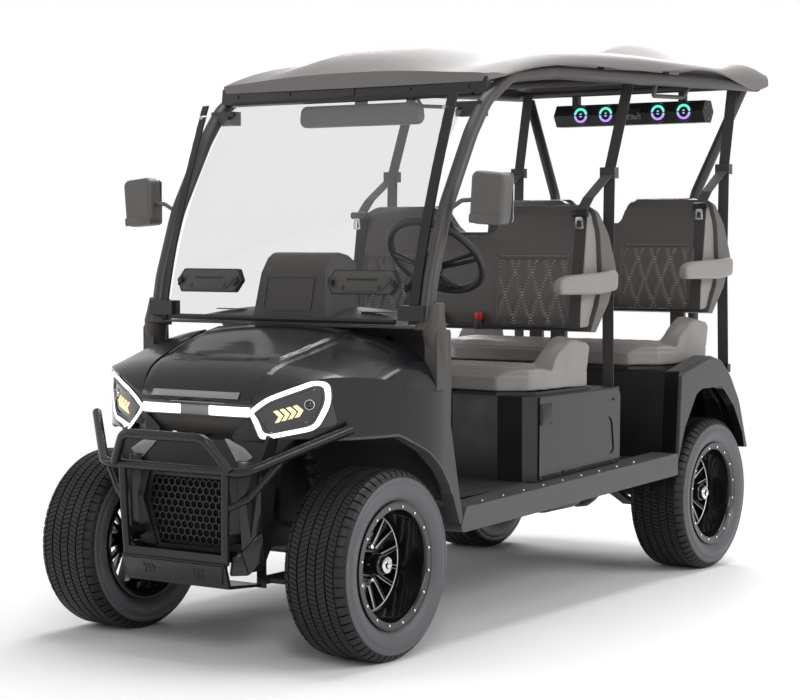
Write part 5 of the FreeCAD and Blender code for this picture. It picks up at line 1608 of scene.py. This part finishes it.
@dataclass
class Hood(Assembly):
    """Hood panel with its raised plateau and rolled borders, and the pale lip plate under it, a
    painted reflection.
    """

    half: tuple = ((-1400.0, 200.0), (-1311.0, 217.0), (-1240.0, 248.0), (-973.0, 306.0),
                   (-800.0, 330.0))
    border: float = 24.0
    fall: float = 5.0
    plateau_front: float = -1206.0
    plateau_bow: float = 0.00088
    plateau_inset: float = 46.0
    plateau_rise: float = 6.0
    fold: float = 6.0
    widest: float = 330.0
    pressed_from: float = 815.0
    pressed_over: float = 40.0
    flat_until: float = -1290.0
    front_y: float = -1311.0
    edge_mm: float = 15.0

    def half_width(self, y: float) -> float:
        """Half width of the hood at y."""
        for (y0, x0), (y1, x1) in zip(self.half, self.half[1:]):
            if y <= y1:
                return x0 + (x1 - x0) * (y - y0) / (y1 - y0)
        return self.half[-1][1]

    def lift(self, x: float, y: float) -> float:
        """How far the pressed shape stands over the plain panel."""
        inside = self.half_width(y) - abs(x)
        sink = self.fall * max(0.0, 1 - inside / self.border) if y > self.flat_until else 0.0
        front = self.plateau_front + self.plateau_bow * x * x
        reach = min(y - front, inside - self.plateau_inset)
        return self.plateau_rise * min(1.0, max(0.0, reach / self.fold)) - sink

    def panel(self) -> None:
        """Copy the panel, divide it finely and press its shape into it."""
        form = merged("hood_panel")
        bmesh.ops.dissolve_limit(form, angle_limit=0.004, verts=form.verts[:],
                                 edges=form.edges[:])
        to_drawing(form)
        for number in range(-21, 22):
            self.slice(form, Vector((number * self.edge_mm, 0, 0)), Vector((1, 0, 0)))
        for number in range(34):
            y = self.front_y + number * self.edge_mm
            self.slice(form, Vector((0, y, 0)), Vector((0, 1, 0)))
        for line in (self.border, self.plateau_inset, self.plateau_inset + self.fold):
            self.bent_slice(form, 0, self.widest - line)
        for line in (0.0, self.fold):
            self.bent_slice(form, 1, self.plateau_front + line)
        bmesh.ops.triangulate(form, faces=form.faces[:])
        for vert in form.verts:
            if vert.co.z > self.pressed_from:
                share = min(1.0, (vert.co.z - self.pressed_from) / self.pressed_over)
                vert.co.z += self.lift(vert.co.x, vert.co.y) * share
        self.put(form, "hood_skin", ["body_paint"], "root", "body_paint", 30.0,
                 ("hood_panel",))

    def bent_slice(self, form: Form, axis: int, place: float) -> None:
        """Cut along a line that runs beside the hood's edge (axis 0) or its fold (axis 1)."""
        normal = Vector((1 - axis, axis, 0))
        moves = {vert: self.bend(vert.co, axis) for vert in form.verts}
        for vert, move in moves.items():
            vert.co[axis] += move
        for side in ((-1, 1) if axis == 0 else (1,)):
            self.slice(form, normal * side * place, normal)
        for vert in form.verts:
            if vert not in moves:
                moves[vert] = 0.0
                for _ in range(6):
                    moves[vert] = self.bend(vert.co - normal * moves[vert], axis)
            vert.co[axis] -= moves[vert]

    def bend(self, co: Vector, axis: int) -> float:
        """How far a point is moved so that the edge's or the fold's line becomes straight."""
        if axis == 0:
            gap = self.widest - self.half_width(co.y)
            return math.copysign(gap, co.x) if abs(co.x) > 1 else 0.0
        return -self.plateau_bow * co.x * co.x

    def slice(self, form: Form, place: Vector, normal: Vector) -> None:
        """Cut a form's faces along a plane, with every part kept."""
        bmesh.ops.bisect_plane(form, geom=form.verts[:] + form.edges[:] + form.faces[:],
                               plane_co=place, plane_no=normal, dist=0.01)

    def lip(self) -> None:
        """Pale grey plate along the hood's front edge, over the light bar: a painted reflection on
        the hood's front face.
        """
        skin = Skin("hood_panel")
        steps = 16
        xs = [-172 + 344 * k / steps for k in range(steps + 1)]
        upper = [skin.front(x, 813, 4.5) for x in xs]
        lower = [skin.front(x, 793, 4.5) for x in xs[::-1]]
        self.slab("hood_lip_reflection", [upper + lower], (0, 4, 0), "highlight_and_badge_grey", 1.2, 60, slot="body_paint")

    def build(self) -> None:
        """Make the hood's pieces."""
        self.panel()
        self.lip()


# Fittings: steering wheel, soundbar, belts and glazing

@dataclass
class SteeringWheel(Assembly):
    """Steering wheel with a padded rim, three spokes and a padded hub."""

    centre: tuple = (240.0, -328.0, 1222.0)
    radius: float = 184.0
    grip: float = 14.5
    tilt_deg: float = 46.52
    hub_drop: float = 42.0
    dent: float = 1.6
    dents: int = 46

    def placed(self, form: Form) -> Form:
        """Turn a form drawn about X onto the column and move it to the wheel's centre."""
        bmesh.ops.rotate(form, cent=(0, 0, 0), verts=form.verts[:],
                         matrix=Matrix.Rotation(math.radians(90), 3, "Z"))
        bmesh.ops.rotate(form, cent=(0, 0, 0), verts=form.verts[:],
                         matrix=Matrix.Rotation(math.radians(self.tilt_deg), 3, "X"))
        bmesh.ops.translate(form, vec=self.centre, verts=form.verts[:])
        return form

    def build(self) -> None:
        """Make the rim, the spokes and the hub."""
        form = bmesh.new()
        steps = 16
        profile = [(self.grip * math.sin(a), self.radius - self.grip
                    + self.grip * math.cos(a)) for a in
                   (math.tau * k / steps for k in range(steps))]
        lathe(form, profile, 120)
        for vert in form.verts:
            angle = math.atan2(vert.co.y, vert.co.z)
            across = math.hypot(vert.co.y, vert.co.z)
            middle = self.radius - self.grip
            if abs(math.sin(angle)) > 0.45 and across < middle:
                dent = self.dent * (0.5 + 0.5 * math.cos(angle * self.dents))
                scale = (across + dent) / across
                vert.co.y *= scale
                vert.co.z *= scale
        self.put(self.placed(form), "wheel_rim", ["grip_black"], "steering_wheel",
                 "grip_black", 50.0, ("steering_wheel",))
        form = bmesh.new()
        for angle in (90, -90, 180):
            turn = Matrix.Rotation(math.radians(angle), 3, "X")
            for shift in (-9, 9) if angle != 180 else (-12, 12):
                line = smooth_line([(-self.hub_drop, shift, 36), (-self.hub_drop + 6, shift, 70),
                                    (-18, shift * 1.3, 118), (-2, shift * 1.6, 160)], 6)
                bar(form, [turn @ point for point in line], [7.5] * len(line), 10)
        self.put(self.placed(form), "wheel_spokes", ["satin_black"], "steering_wheel",
                 "grip_black", 40.0)
        form = bmesh.new()
        lathe(form, [(-62, 0.01), (-62, 34), (-46, 46), (-30, 48), (-22, 44), (-18, 30),
                     (-17, 0.01)], 48)
        lathe(form, [(-18, 0.01), (-18, 24), (-15, 23), (-14, 0.01)], 40)
        bmesh.ops.remove_doubles(form, verts=form.verts[:], dist=0.03)
        self.put(self.placed(form), "wheel_hub", ["grip_black"], "steering_wheel",
                 "grip_black", 35.0)


@dataclass
class SoundBar(Assembly):
    """Speaker baskets, light rings and the control module of the soundbar."""

    centre_y: float = 1530.0
    centre_z: float = 1802.0
    front_y: float = 1530.0 - 52.0 * 0.866
    bolt_ring: float = 30.0
    speakers: tuple = (-220.0, -100.0, 145.0, 263.0)
    half_length: float = 350.0

    def facing(self, form: Form, x: float) -> Form:
        """Turn a form drawn about X to face the front, at x on the bar."""
        bmesh.ops.rotate(form, cent=(0, 0, 0), verts=form.verts[:],
                         matrix=Matrix.Rotation(math.radians(-90), 3, "Z"))
        bmesh.ops.translate(form, verts=form.verts[:],
                            vec=(x, self.front_y, self.centre_z))
        return form

    def build(self) -> None:
        """Make the pieces of every speaker, and the module."""
        parts = (("speaker_baskets", "satin_black",
                  [(-1, 41), (4, 41), (6, 39), (6, 33), (-1, 33)]),
                 ("speaker_rings", "speaker_glow",
                  [(-1, 31), (5, 31), (6, 29), (6, 24), (5, 22), (-1, 22)]),
                 ("speaker_cones", "deep_black",
                  [(-1, 21.5), (4, 21.5), (1, 10), (-1, 10)]),
                 ("speaker_caps", "speaker_glow",
                  [(-1, 0.01), (6, 0.01), (5, 6), (3, 8.5), (-1, 8.5)]))
        for name, finish, profile in parts:
            whole = bmesh.new()
            for x in self.speakers:
                join(whole, self.facing(turned_part(profile, 40), x))
            self.put(whole, name, [finish])
        loop = [Vector((x, self.front_y - 5, self.centre_z + z))
                for x, z in oblong((-42, -24), (70, 24), 8)]
        self.slab("bar_module", [loop], (0, 6, 0), "screen_glass", 1.5)
        form = bmesh.new()
        for x in (-26.0, 54.0):
            dot = turned_part([(-1, 0.01), (6.5, 0.01), (6, 3.2), (-1, 3.6)], 16)
            join(form, self.facing(dot, x))
        self.put(form, "module_lights", ["status_glow"])
        form = bmesh.new()
        for side in (-1, 1):
            for turn in range(6):
                angle = math.tau * turn / 6
                place = Vector((side * (self.half_length - 16),
                                self.centre_y + self.bolt_ring * math.sin(angle),
                                self.centre_z + self.bolt_ring * math.cos(angle)))
                bar(form, [place, place + Vector((side * 18, 0, 0))], [3.2, 3.2], 8)
        self.put(form, "end_cap_bolts", ["bright_steel"])


@dataclass
class BeltHardware(Assembly):
    """Tongues, guides and buckles of the four belts."""

    belt_x: float = 480.0

    def build(self) -> None:
        """Make the metal and moulded pieces of every belt."""
        tongues, guides, bodies, buttons = (bmesh.new() for _ in range(4))
        for dy, dz in BENCHES.values():
            for side in (-1, 1):
                self.tongue(tongues, side, dy, dz)
                self.guide(guides, side, dy, dz)
                self.buckle(bodies, buttons, side, dy, dz)
        self.put(tongues, "belt_tongues", ["chrome"], "root", "webbing")
        self.put(guides, "belt_guides", ["satin_black"], "root", "webbing")
        self.put(bodies, "buckle_bodies", ["satin_black"], "root", "buckle_red", 38.0,
                 ("belt_buckles",))
        self.put(buttons, "buckle_buttons", ["buckle_red"], "root", "buckle_red")

    def tongue(self, form: Form, side: int, dy: float, dz: float) -> None:
        """A bright tongue plate with its slot."""
        outer = rounded([(-17, -22), (17, -22), (13, 20), (-13, 20)], [5] * 4, 4, 1)
        inner = rounded([(-9, -15), (9, -15), (7, 8), (-7, 8)], [3] * 4, 4, 1)
        x0 = side * (self.belt_x + 5)
        loops = [[Vector((x0 + x, 222.5 + dy - 0.02 * z, 1338 + z + dz)) for x, z in outline]
                 for outline in (outer, inner)]
        band(form, loops[0], loops[1], Vector((0, 3, 0)))

    def guide(self, form: Form, side: int, dy: float, dz: float) -> None:
        """The moulded guide over the seat's shoulder."""
        verts = set(form.verts)
        outer = oblong((-34, -12), (34, 14), 10)
        points = [Vector((side * (self.belt_x + 4) + x, 226 + dy, 1368 + z + dz)) for x, z in outer]
        plate(form, points, Vector((0, 16, 0)))
        round_edges(form, 3.5, 50, 2, [vert for vert in form.verts if vert not in verts])

    def buckle(self, bodies: Form, buttons: Form, side: int, dy: float, dz: float) -> None:
        """One buckle: a moulded body with its red release button on top."""
        for form, z0, z1, inset in ((bodies, 951, 988, 0.0), (buttons, 988, 1012, 2.0)):
            old = set(form.verts)
            outline = oblong((71 + inset, 178 + inset), (103 - inset, 198 - inset), 5, 3)
            points = [Vector((side * x, y + dy, z0 + dz)) for x, y in outline]
            plate(form, points, Vector((0, 2, z1 - z0)))
            round_edges(form, 1.6, 50, 2, [vert for vert in form.verts if vert not in old])


@dataclass
class Glazing(Assembly):
    """Mirror glass, the pane's clamps and gasket, and the vents in the pane."""

    mirror: tuple = ((658.0, 1328.0), (776.0, 1486.0))
    mirror_back: float = -704.0
    inner_mirror: tuple = ((-240.0, 1672.0), (240.0, 1732.0))
    inner_back: float = -408.0
    pane_foot: int = 1012
    pane_head: int = 1741
    vent_x: tuple = (172.0, 456.0)
    vent_z: float = 1142.0
    vent_half: float = 39.0

    def build(self) -> None:
        """Make the glazing's pieces."""
        form = bmesh.new()
        plate(form, [Vector((x, self.mirror_back - 0.5, z))
                     for x, z in oblong(*self.mirror, 16, 5)], Vector((0, 2.5, 0)))
        mirror_too(form)
        plate(form, [Vector((x, self.inner_back - 0.5, z))
                     for x, z in oblong(*self.inner_mirror, 14, 5)], Vector((0, 2.5, 0)))
        self.put(form, "mirror_panes", ["mirror_glass"])
        outline = rounded([(653, 1330), (769, 1323), (771, 1352), (654, 1359)], [8] * 4, 4, 2)
        self.slab("mirror_bands", [[Vector((x, -766, z)) for x, z in outline]], (0, -4.5, 0),
                  "mirror_case", 1.8, 50, True)
        self.vents()
        self.gasket()

    def vents(self) -> None:
        """Stepped face, hinge knuckles and the slots of the two vents, the slots as dark plates of
        painted shade.
        """
        skin = Skin("screen_vents")
        x0, x1 = self.vent_x
        z, half = self.vent_z, self.vent_half
        faces, dark = bmesh.new(), bmesh.new()
        for x_low, x_high, tall, proud in ((x0 + 5, x1 - 5, half - 4, 2.5),
                                           (x0 + 40, x1 - 40, half - 11, 6.0)):
            outline = rounded([(x_low, z), (x_low + 26, z - tall), (x_high - 26, z - tall),
                               (x_high, z), (x_high - 26, z + tall), (x_low + 26, z + tall)],
                              [5] * 6, 3, 1)
            plate(faces, [skin.front(x, h, proud) for x, h in outline], Vector((0, 3, 0)))
        round_edges(faces, 1.2, 40)
        # Near-black plates over the face stand for the vents' slots: painted shade.
        for x_low, x_high, low, high in ((x0 + 82, x1 - 82, z + 6, z + 13),
                                         (x0 + 66, x0 + 78, z - 24, z - 10),
                                         (x1 - 78, x1 - 66, z - 24, z - 10)):
            plate(dark, [skin.front(x, h, 6.6)
                         for x, h in oblong((x_low, low), (x_high, high), 3, 3)],
                  Vector((0, 2, 0)))
        for x in (x0 + 22, x1 - 22):
            place = skin.front(x, z, 0.0)
            bar(dark, [place + Vector((0, -14, 0)), place], [9.0, 10.0], 14)
            bar(dark, [place + Vector((-9, -9, 16)), place + Vector((9, -9, -16))], [3.5, 3.5], 8)
        mirror_too(faces)
        mirror_too(dark)
        self.put(faces, "vent_faces", ["trim_plastic"])
        self.put(dark, "vent_knuckles_and_slot_shade", ["deep_black"])

    def gasket(self) -> None:
        """Rubber strips that close the pane against the posts, and its clamp screws."""
        skin = Skin("windscreen")
        form = bmesh.new()
        line = [skin.front(x, 1020, 1.0) for x in range(-478, 479, 44)]
        bar(form, line, [9.0] * len(line), 8)
        for side in (-1, 1):
            rings = []
            for z in range(self.pane_foot, self.pane_head, 26):
                inner = skin.front(side * 496, z, 3.0)
                outer = Vector((side * 526, inner.y + 8, z))
                rings.append([inner, outer, outer + Vector((0, 8, 0)), inner + Vector((0, 9, 0))])
            sleeve(form, rings)
        self.put(form, "pane_gasket", ["deep_black"])
        form = bmesh.new()
        for side in (-1, 1):
            for x, z in ((500, 1052), (500, 1698)):
                place = skin.front(side * x, z, 4.0)
                bar(form, [place + Vector((0, -12, 0)), place + Vector((0, 6, 0))],
                    [7.0, 8.0], 14)
        self.put(form, "pane_screws", ["chrome"])


# Details of the front, the dash and the body

@dataclass
class Front(Assembly):
    """Fine honeycomb grille over a sheet of painted shade, fascia cheeks, shoulder plates of
    painted highlight and the skid plate's face with its painted-shade arrows and highlight bar.
    """

    grille_outline: tuple = ((-160, 560), (-178, 470), (-132, 322), (132, 322), (178, 470),
                             (160, 560))
    grille_y: float = -1334.0
    pitch: float = 25.0
    web: float = 2.6
    surround: float = 13.0
    middle_z: float = 442.0
    cheek_way: tuple = (-26, 26, 0)
    chin_half: int = 240
    chin_bow: float = 14.0
    chin: tuple = ((-1306, 741), (-1300, 712), (-1280, 680), (-1272, 680), (-1290, 741))
    skid_top: float = 298.0
    skid_y: float = -1425.0
    skid_lean: float = 0.28

    def grille(self) -> None:
        """Honeycomb of open cells in a hexagonal frame, over a sheet of painted shade."""
        form = bmesh.new()
        window = grown([*self.grille_outline], -self.surround)
        for row in range(-6, 7):
            for column in range(-8, 9):
                x = column * self.pitch + (self.pitch / 2 if row % 2 else 0)
                z = self.middle_z + row * self.pitch * 0.866
                if not within(window, x, z):
                    continue
                corner = self.pitch / math.sqrt(3)
                rings = [[Vector((x + radius * math.sin(math.radians(60 * k)), self.grille_y,
                                  z + radius * math.cos(math.radians(60 * k))))
                          for k in range(6)] for radius in (corner + 0.3, corner - self.web)]
                band(form, rings[0], rings[1], Vector((0, 12, 0)))
        outer = rounded([*self.grille_outline], [12] * 6, 4, 2)
        inner = rounded(window, [10] * 6, 4, 2)
        loops = [[Vector((x, self.grille_y - 1, z)) for x, z in line] for line in (outer, inner)]
        band(form, loops[0], loops[1], Vector((0, 13, 0)))
        self.put(form, "grille_mesh", ["satin_black"], "root", "satin_black", 30.0,
                 ("front_grille",))
        # A near-black sheet behind the cells: painted shade seen through the open honeycomb.
        loop = [Vector((x, self.grille_y + 16, z)) for x, z in self.grille_outline]
        self.slab("grille_shade_sheet", [loop], (0, 3, 0), "deep_black")

    def cheeks(self) -> None:
        """Painted panels that close the fascia towards the wheels, and pale plates on its shoulders
        that are a painted highlight.
        """
        upper = [(212, -1373, 610), (267, -1318, 612), (267, -1318, 398), (223, -1362, 337)]
        lower = [(223, -1362, 337), (267, -1318, 398), (270, -1315, 339), (268, -1317, 310),
                 (239, -1346, 264)]
        toe = [(204, -1381, 317), (223, -1362, 337), (239, -1346, 264), (199, -1386, 264)]
        loops = [[Vector(corner) for corner in corners] for corners in (upper, lower, toe)]
        self.slab("fascia_cheeks", loops, self.cheek_way, "body_paint", 4.0, 30, True,
                  "body_paint")
        skin = Skin("front_fascia")
        form = bmesh.new()
        corners = [(146, -1314, 674), (150, -1304, 692), (205, -1304, 738), (262, -1284, 672),
                   (350, -1254, 688), (300, -1262, 640), (250, -1290, 612), (206, -1312, 646)]
        plate(form, [Vector(corner) for corner in corners], Vector((0, 14, 0)))
        bmesh.ops.triangulate(form, faces=form.faces[:])
        mirror_too(form)
        self.put(form, "fascia_shoulders", ["satin_black"], "root", "satin_black", 20.0)
        form = bmesh.new()
        rings = []
        for x in range(-self.chin_half, self.chin_half + 1, 30):
            bow = abs(x / self.chin_half) ** 2 * self.chin_bow
            rings.append([Vector((x, y + bow, z)) for y, z in self.chin])
        sleeve(form, rings)
        self.put(form, "nose_chin", ["trim_plastic"])
        # Pale plates on the fascia's shoulders: a painted highlight.
        corners = [(126, 672), (140, 672), (206, 648), (244, 622), (204, 594), (190, 600)]
        outline = rounded(corners, [5] * 6, 3, 1)
        self.slab("shoulder_highlights", [[skin.front(x, z, 3.0) for x, z in outline]], (0, 4, 0),
                  "highlight_and_badge_grey", 1.0, 40, True)

    def skid_face(self) -> None:
        """Plain face of the skid plate, with three arrows of painted shade at each end for its
        cut-outs, and a bar of painted highlight over it.
        """
        top = self.skid_top
        outline = rounded([(-200, top), (200, top), (184, 240), (-184, 240)], [6] * 4, 4, 2)
        loop = [Vector((x, self.skid_y + (top - z) * self.skid_lean, z)) for x, z in outline[::-1]]
        self.slab("skid_face", [loop], (0, 3, 0), "guard_paint", 1.0)
        # Near-black arrow plates on the face: painted shade that stands for the arrows cut through
        # the plate.
        loops = []
        for i in range(3):
            x0 = 84 + i * 16
            points = [(x0 + x, 268 + z) for x, z in
                      ((0, 15), (6, 15), (-4, 0), (6, -15), (0, -15), (-10, 0))]
            loops.append([Vector((x, self.skid_y - 1.5 + (top - z) * self.skid_lean, z))
                          for x, z in points])
        self.slab("skid_arrow_shade", loops, (0, 2, 0), "deep_black", mirrored=True)
        # A pale bar along the top of the skid plate: a painted highlight on the guard.
        form = bmesh.new()
        bar(form, [Vector((x, -1409, 316)) for x in (-176, 0, 176)], [6.0] * 3, 10)
        self.put(form, "guard_highlight_bar", ["highlight_and_badge_grey"])

    def build(self) -> None:
        """Make the front's details."""
        self.grille()
        self.cheeks()
        self.skid_face()


@dataclass
class Dash(Assembly):
    """Crowned shelf, moulding, pillar shrouds and instrument pod of the dash."""

    half: float = 496.0
    front_y: float = -846.0
    rear_y: float = -640.0
    base_z: float = 1004.0
    crown: float = 50.0
    crest: tuple = ((-846.0, 0.0), (-812.0, 0.42), (-770.0, 0.72), (-720.0, 0.92), (-680.0, 1.0),
                    (-652.0, 0.9), (-640.0, 0.4))
    drawn_in: float = 0.2
    pod_foot: int = 1006
    pod_lean: float = 0.16
    screen_lean: float = 0.05
    pod_bend: float = -780.0
    pod_rings: tuple = ((-838, 1180, 136), (-812, 1222, 138), (-790, 1234, 140),
                        (-740, 1236, 143), (-700, 1228, 146), (-668, 1210, 147))
    shroud: tuple = ((1080, 566, -828, 31, 31), (1040, 568, -834, 34, 34),
                     (1004, 570, -838, 37, 42), (960, 574, -834, 34, 42),
                     (915, 578, -826, 28, 32), (880, 582, -818, 20, 18))

    def shelf(self) -> None:
        """A crowned shelf, drawn as rings across the cart, and its two air slots as flat plates of
        painted shade.
        """
        form = bmesh.new()
        rings = []
        for step in range(-20, 21):
            x = self.half * step / 20
            rise = 2 + self.crown * (1 - abs(step / 20) ** 3.2)
            ring = [Vector((x, y, self.base_z + 2 + rise * part)) for y, part in self.crest]
            rings.append(ring + [Vector((x, y, self.base_z)) for y in (self.rear_y, self.front_y)])
        sleeve(form, rings)
        self.put(form, "dash_shelf", ["trim_plastic"], "root", "trim_plastic", 40.0)
        # Near-black plates on the shelf stand for the air slots: painted shade.
        loops = [[Vector((side * 300 + x, -760 + y, self.base_z + self.crown * 0.78))
                  for x, y in oblong((-60, -14), (60, 14), 8, 4, 2)] for side in (-1, 1)]
        self.slab("shelf_vent_shade", loops, (0, 0, 3), "deep_black", slot="trim_plastic")

    def moulding(self) -> None:
        """The dash moulding, drawn in at its rear corners, with shrouds at the pillars' feet."""
        form = bmesh.new()
        form.from_mesh(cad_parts["dash_cowl"].data)
        to_drawing(form)
        for vert in form.verts:
            if abs(vert.co.x) > 480 and vert.co.z > 740:
                share = min(1.0, max(0.0, (vert.co.y + 712) / 72))
                vert.co.x *= 1 - self.drawn_in * share
        self.put(form, "dash_moulding", ["trim_plastic"], "root", "trim_plastic", 30.0,
                 ("dash_cowl",), False)
        form = bmesh.new()
        rings = []
        for z, x, y, wide, deep in self.shroud:
            rings.append([Vector((x + wide * math.cos(a), y + deep * math.sin(a), z))
                          for a in (math.tau * k / 24 for k in range(24))])
        sleeve(form, rings)
        mirror_too(form)
        self.put(form, "pillar_shrouds", ["trim_plastic"], "root", "trim_plastic", 60.0)

    def pod(self) -> None:
        """Instrument pod with a recessed blank front and a screen towards the driver."""
        form = bmesh.new()
        rings = []
        foot = self.pod_foot
        for y, high, half in self.pod_rings:
            outline = rounded([(-half - 14, foot), (half + 14, foot), (half - 6, high),
                               (-half + 6, high)], [2, 2, 16, 16], 5, 3)
            share = 1 if y < self.pod_bend else 0.3
            rings.append([Vector((x, y + (z - foot) * self.pod_lean * share, z))
                          for x, z in outline])
        sleeve(form, rings)
        self.put(form, "pod_case", ["trim_plastic"], "root", "satin_black", 32.0,
                 ("display_pod",))
        form = bmesh.new()
        outline = rounded([(-112, 1046), (86, 1046), (94, 1160), (-106, 1160)], [6] * 4, 4, 2)
        inner = rounded([(-106, 1052), (80, 1052), (88, 1154), (-100, 1154)], [4] * 4, 4, 2)
        loops = [[Vector((x, -842 + (z - foot) * self.pod_lean, z)) for x, z in line]
                 for line in (outline, inner)]
        band(form, loops[0], loops[1], Vector((0, 5, 0)))
        self.put(form, "pod_frame", ["trim_plastic"])
        outline = rounded([(-118, 1042), (118, 1042), (112, 1186), (-112, 1186)], [10] * 4, 5, 2)
        loop = [Vector((x, -667 + (z - foot) * self.screen_lean, z)) for x, z in outline]
        self.slab("pod_screen", [loop], (0, 5, 0), "screen_glass", 1.5)

    def build(self) -> None:
        """Make the dash's details."""
        self.shelf()
        self.moulding()
        self.pod()


@dataclass
class Body(Assembly):
    """Seat-box plates and screws, sill bolts and roof trim."""

    plate_low: tuple = (-122, 640)
    plate_high: tuple = (-42, 716)
    screws: tuple = ((-114, 648), (-50, 648), (-50, 708), (-114, 708), (40, 470), (400, 470),
                     (400, 700))
    sill_x: float = 560.0
    first_bolt: float = -560.0
    bolt_pitch: float = 130.0

    def plates(self) -> None:
        """Blank square plate with its screws on each side of the seat box."""
        form = bmesh.new()
        skin = Skin("seat_box_sides", "front_seat_box")
        for side in (-1, 1):
            for inset, radius, proud in ((0, 10, 2.0), (9, 6, 4.5)):
                low = tuple(number + inset for number in self.plate_low)
                high = tuple(number - inset for number in self.plate_high)
                plate(form, [skin.side(side, y, z, proud)
                             for y, z in oblong(low, high, radius, 4, 2)],
                      Vector((-side * 4, 0, 0)))
        round_edges(form, 1.0, 45)
        self.put(form, "box_plates", ["satin_black"])
        form = bmesh.new()
        for side in (-1, 1):
            for y, z in self.screws:
                place = skin.side(side, y, z, 0.0)
                bar(form, [place - Vector((side * 2, 0, 0)), place + Vector((side * 4, 0, 0))],
                    [5.5, 4.5], 12)
        self.put(form, "box_screws", ["satin_black"])

    def sill_bolts(self) -> None:
        """A row of bolts along each sill."""
        form = bmesh.new()
        skin = Skin("sills")
        for side in (-1, 1):
            for number in range(9):
                y = self.first_bolt + number * self.bolt_pitch
                place = skin.top(side * (self.sill_x + 12), y)
                bar(form, [place - Vector((0, 0, 2)), place + Vector((0, 0, 3))], [6.5, 5.0], 6)
        self.put(form, "sill_bolts", ["bright_steel"], "root", "bright_steel")

    def roof_trim(self) -> None:
        """Bead along the roof's front edge and the header's bracket."""
        form = bmesh.new()
        skin = Skin("roof_header")
        line = [skin.front(x, 1752, 2.5) for x in range(-500, 501, 50)]
        bar(form, line, [5.5] * len(line), 10)
        self.put(form, "header_bead", ["deep_black"])
        form = bmesh.new()
        plate(form, [skin.front(x, z, 3.0) for x, z in oblong((-26, 1762), (26, 1794), 4, 3)],
              Vector((0, 5, 0)))
        for x in (-480, -250, 250, 480):
            place = skin.front(x, 1778, 0.0)
            bar(form, [place - Vector((0, 4, 0)), place + Vector((0, 3, 0))], [5.0, 6.0], 12)
        self.put(form, "header_bracket", ["satin_black"])

    def build(self) -> None:
        """Make the body's details."""
        self.plates()
        self.sill_bolts()
        self.roof_trim()


ASSEMBLIES = (Wheels, Seats, Lamps, Hood, Front, Dash, Body, SteeringWheel, SoundBar,
              BeltHardware, Glazing)


def main() -> None:
    """Dress the frame, build each sub-assembly and set up the studio."""
    logging.basicConfig(level=logging.INFO, format="%(message)s")
    palette = Palette()
    palette.dress_frame()
    Studio().build()
    for assembly in ASSEMBLIES:
        assembly(palette).build()


if __name__ == "__main__":
    main()
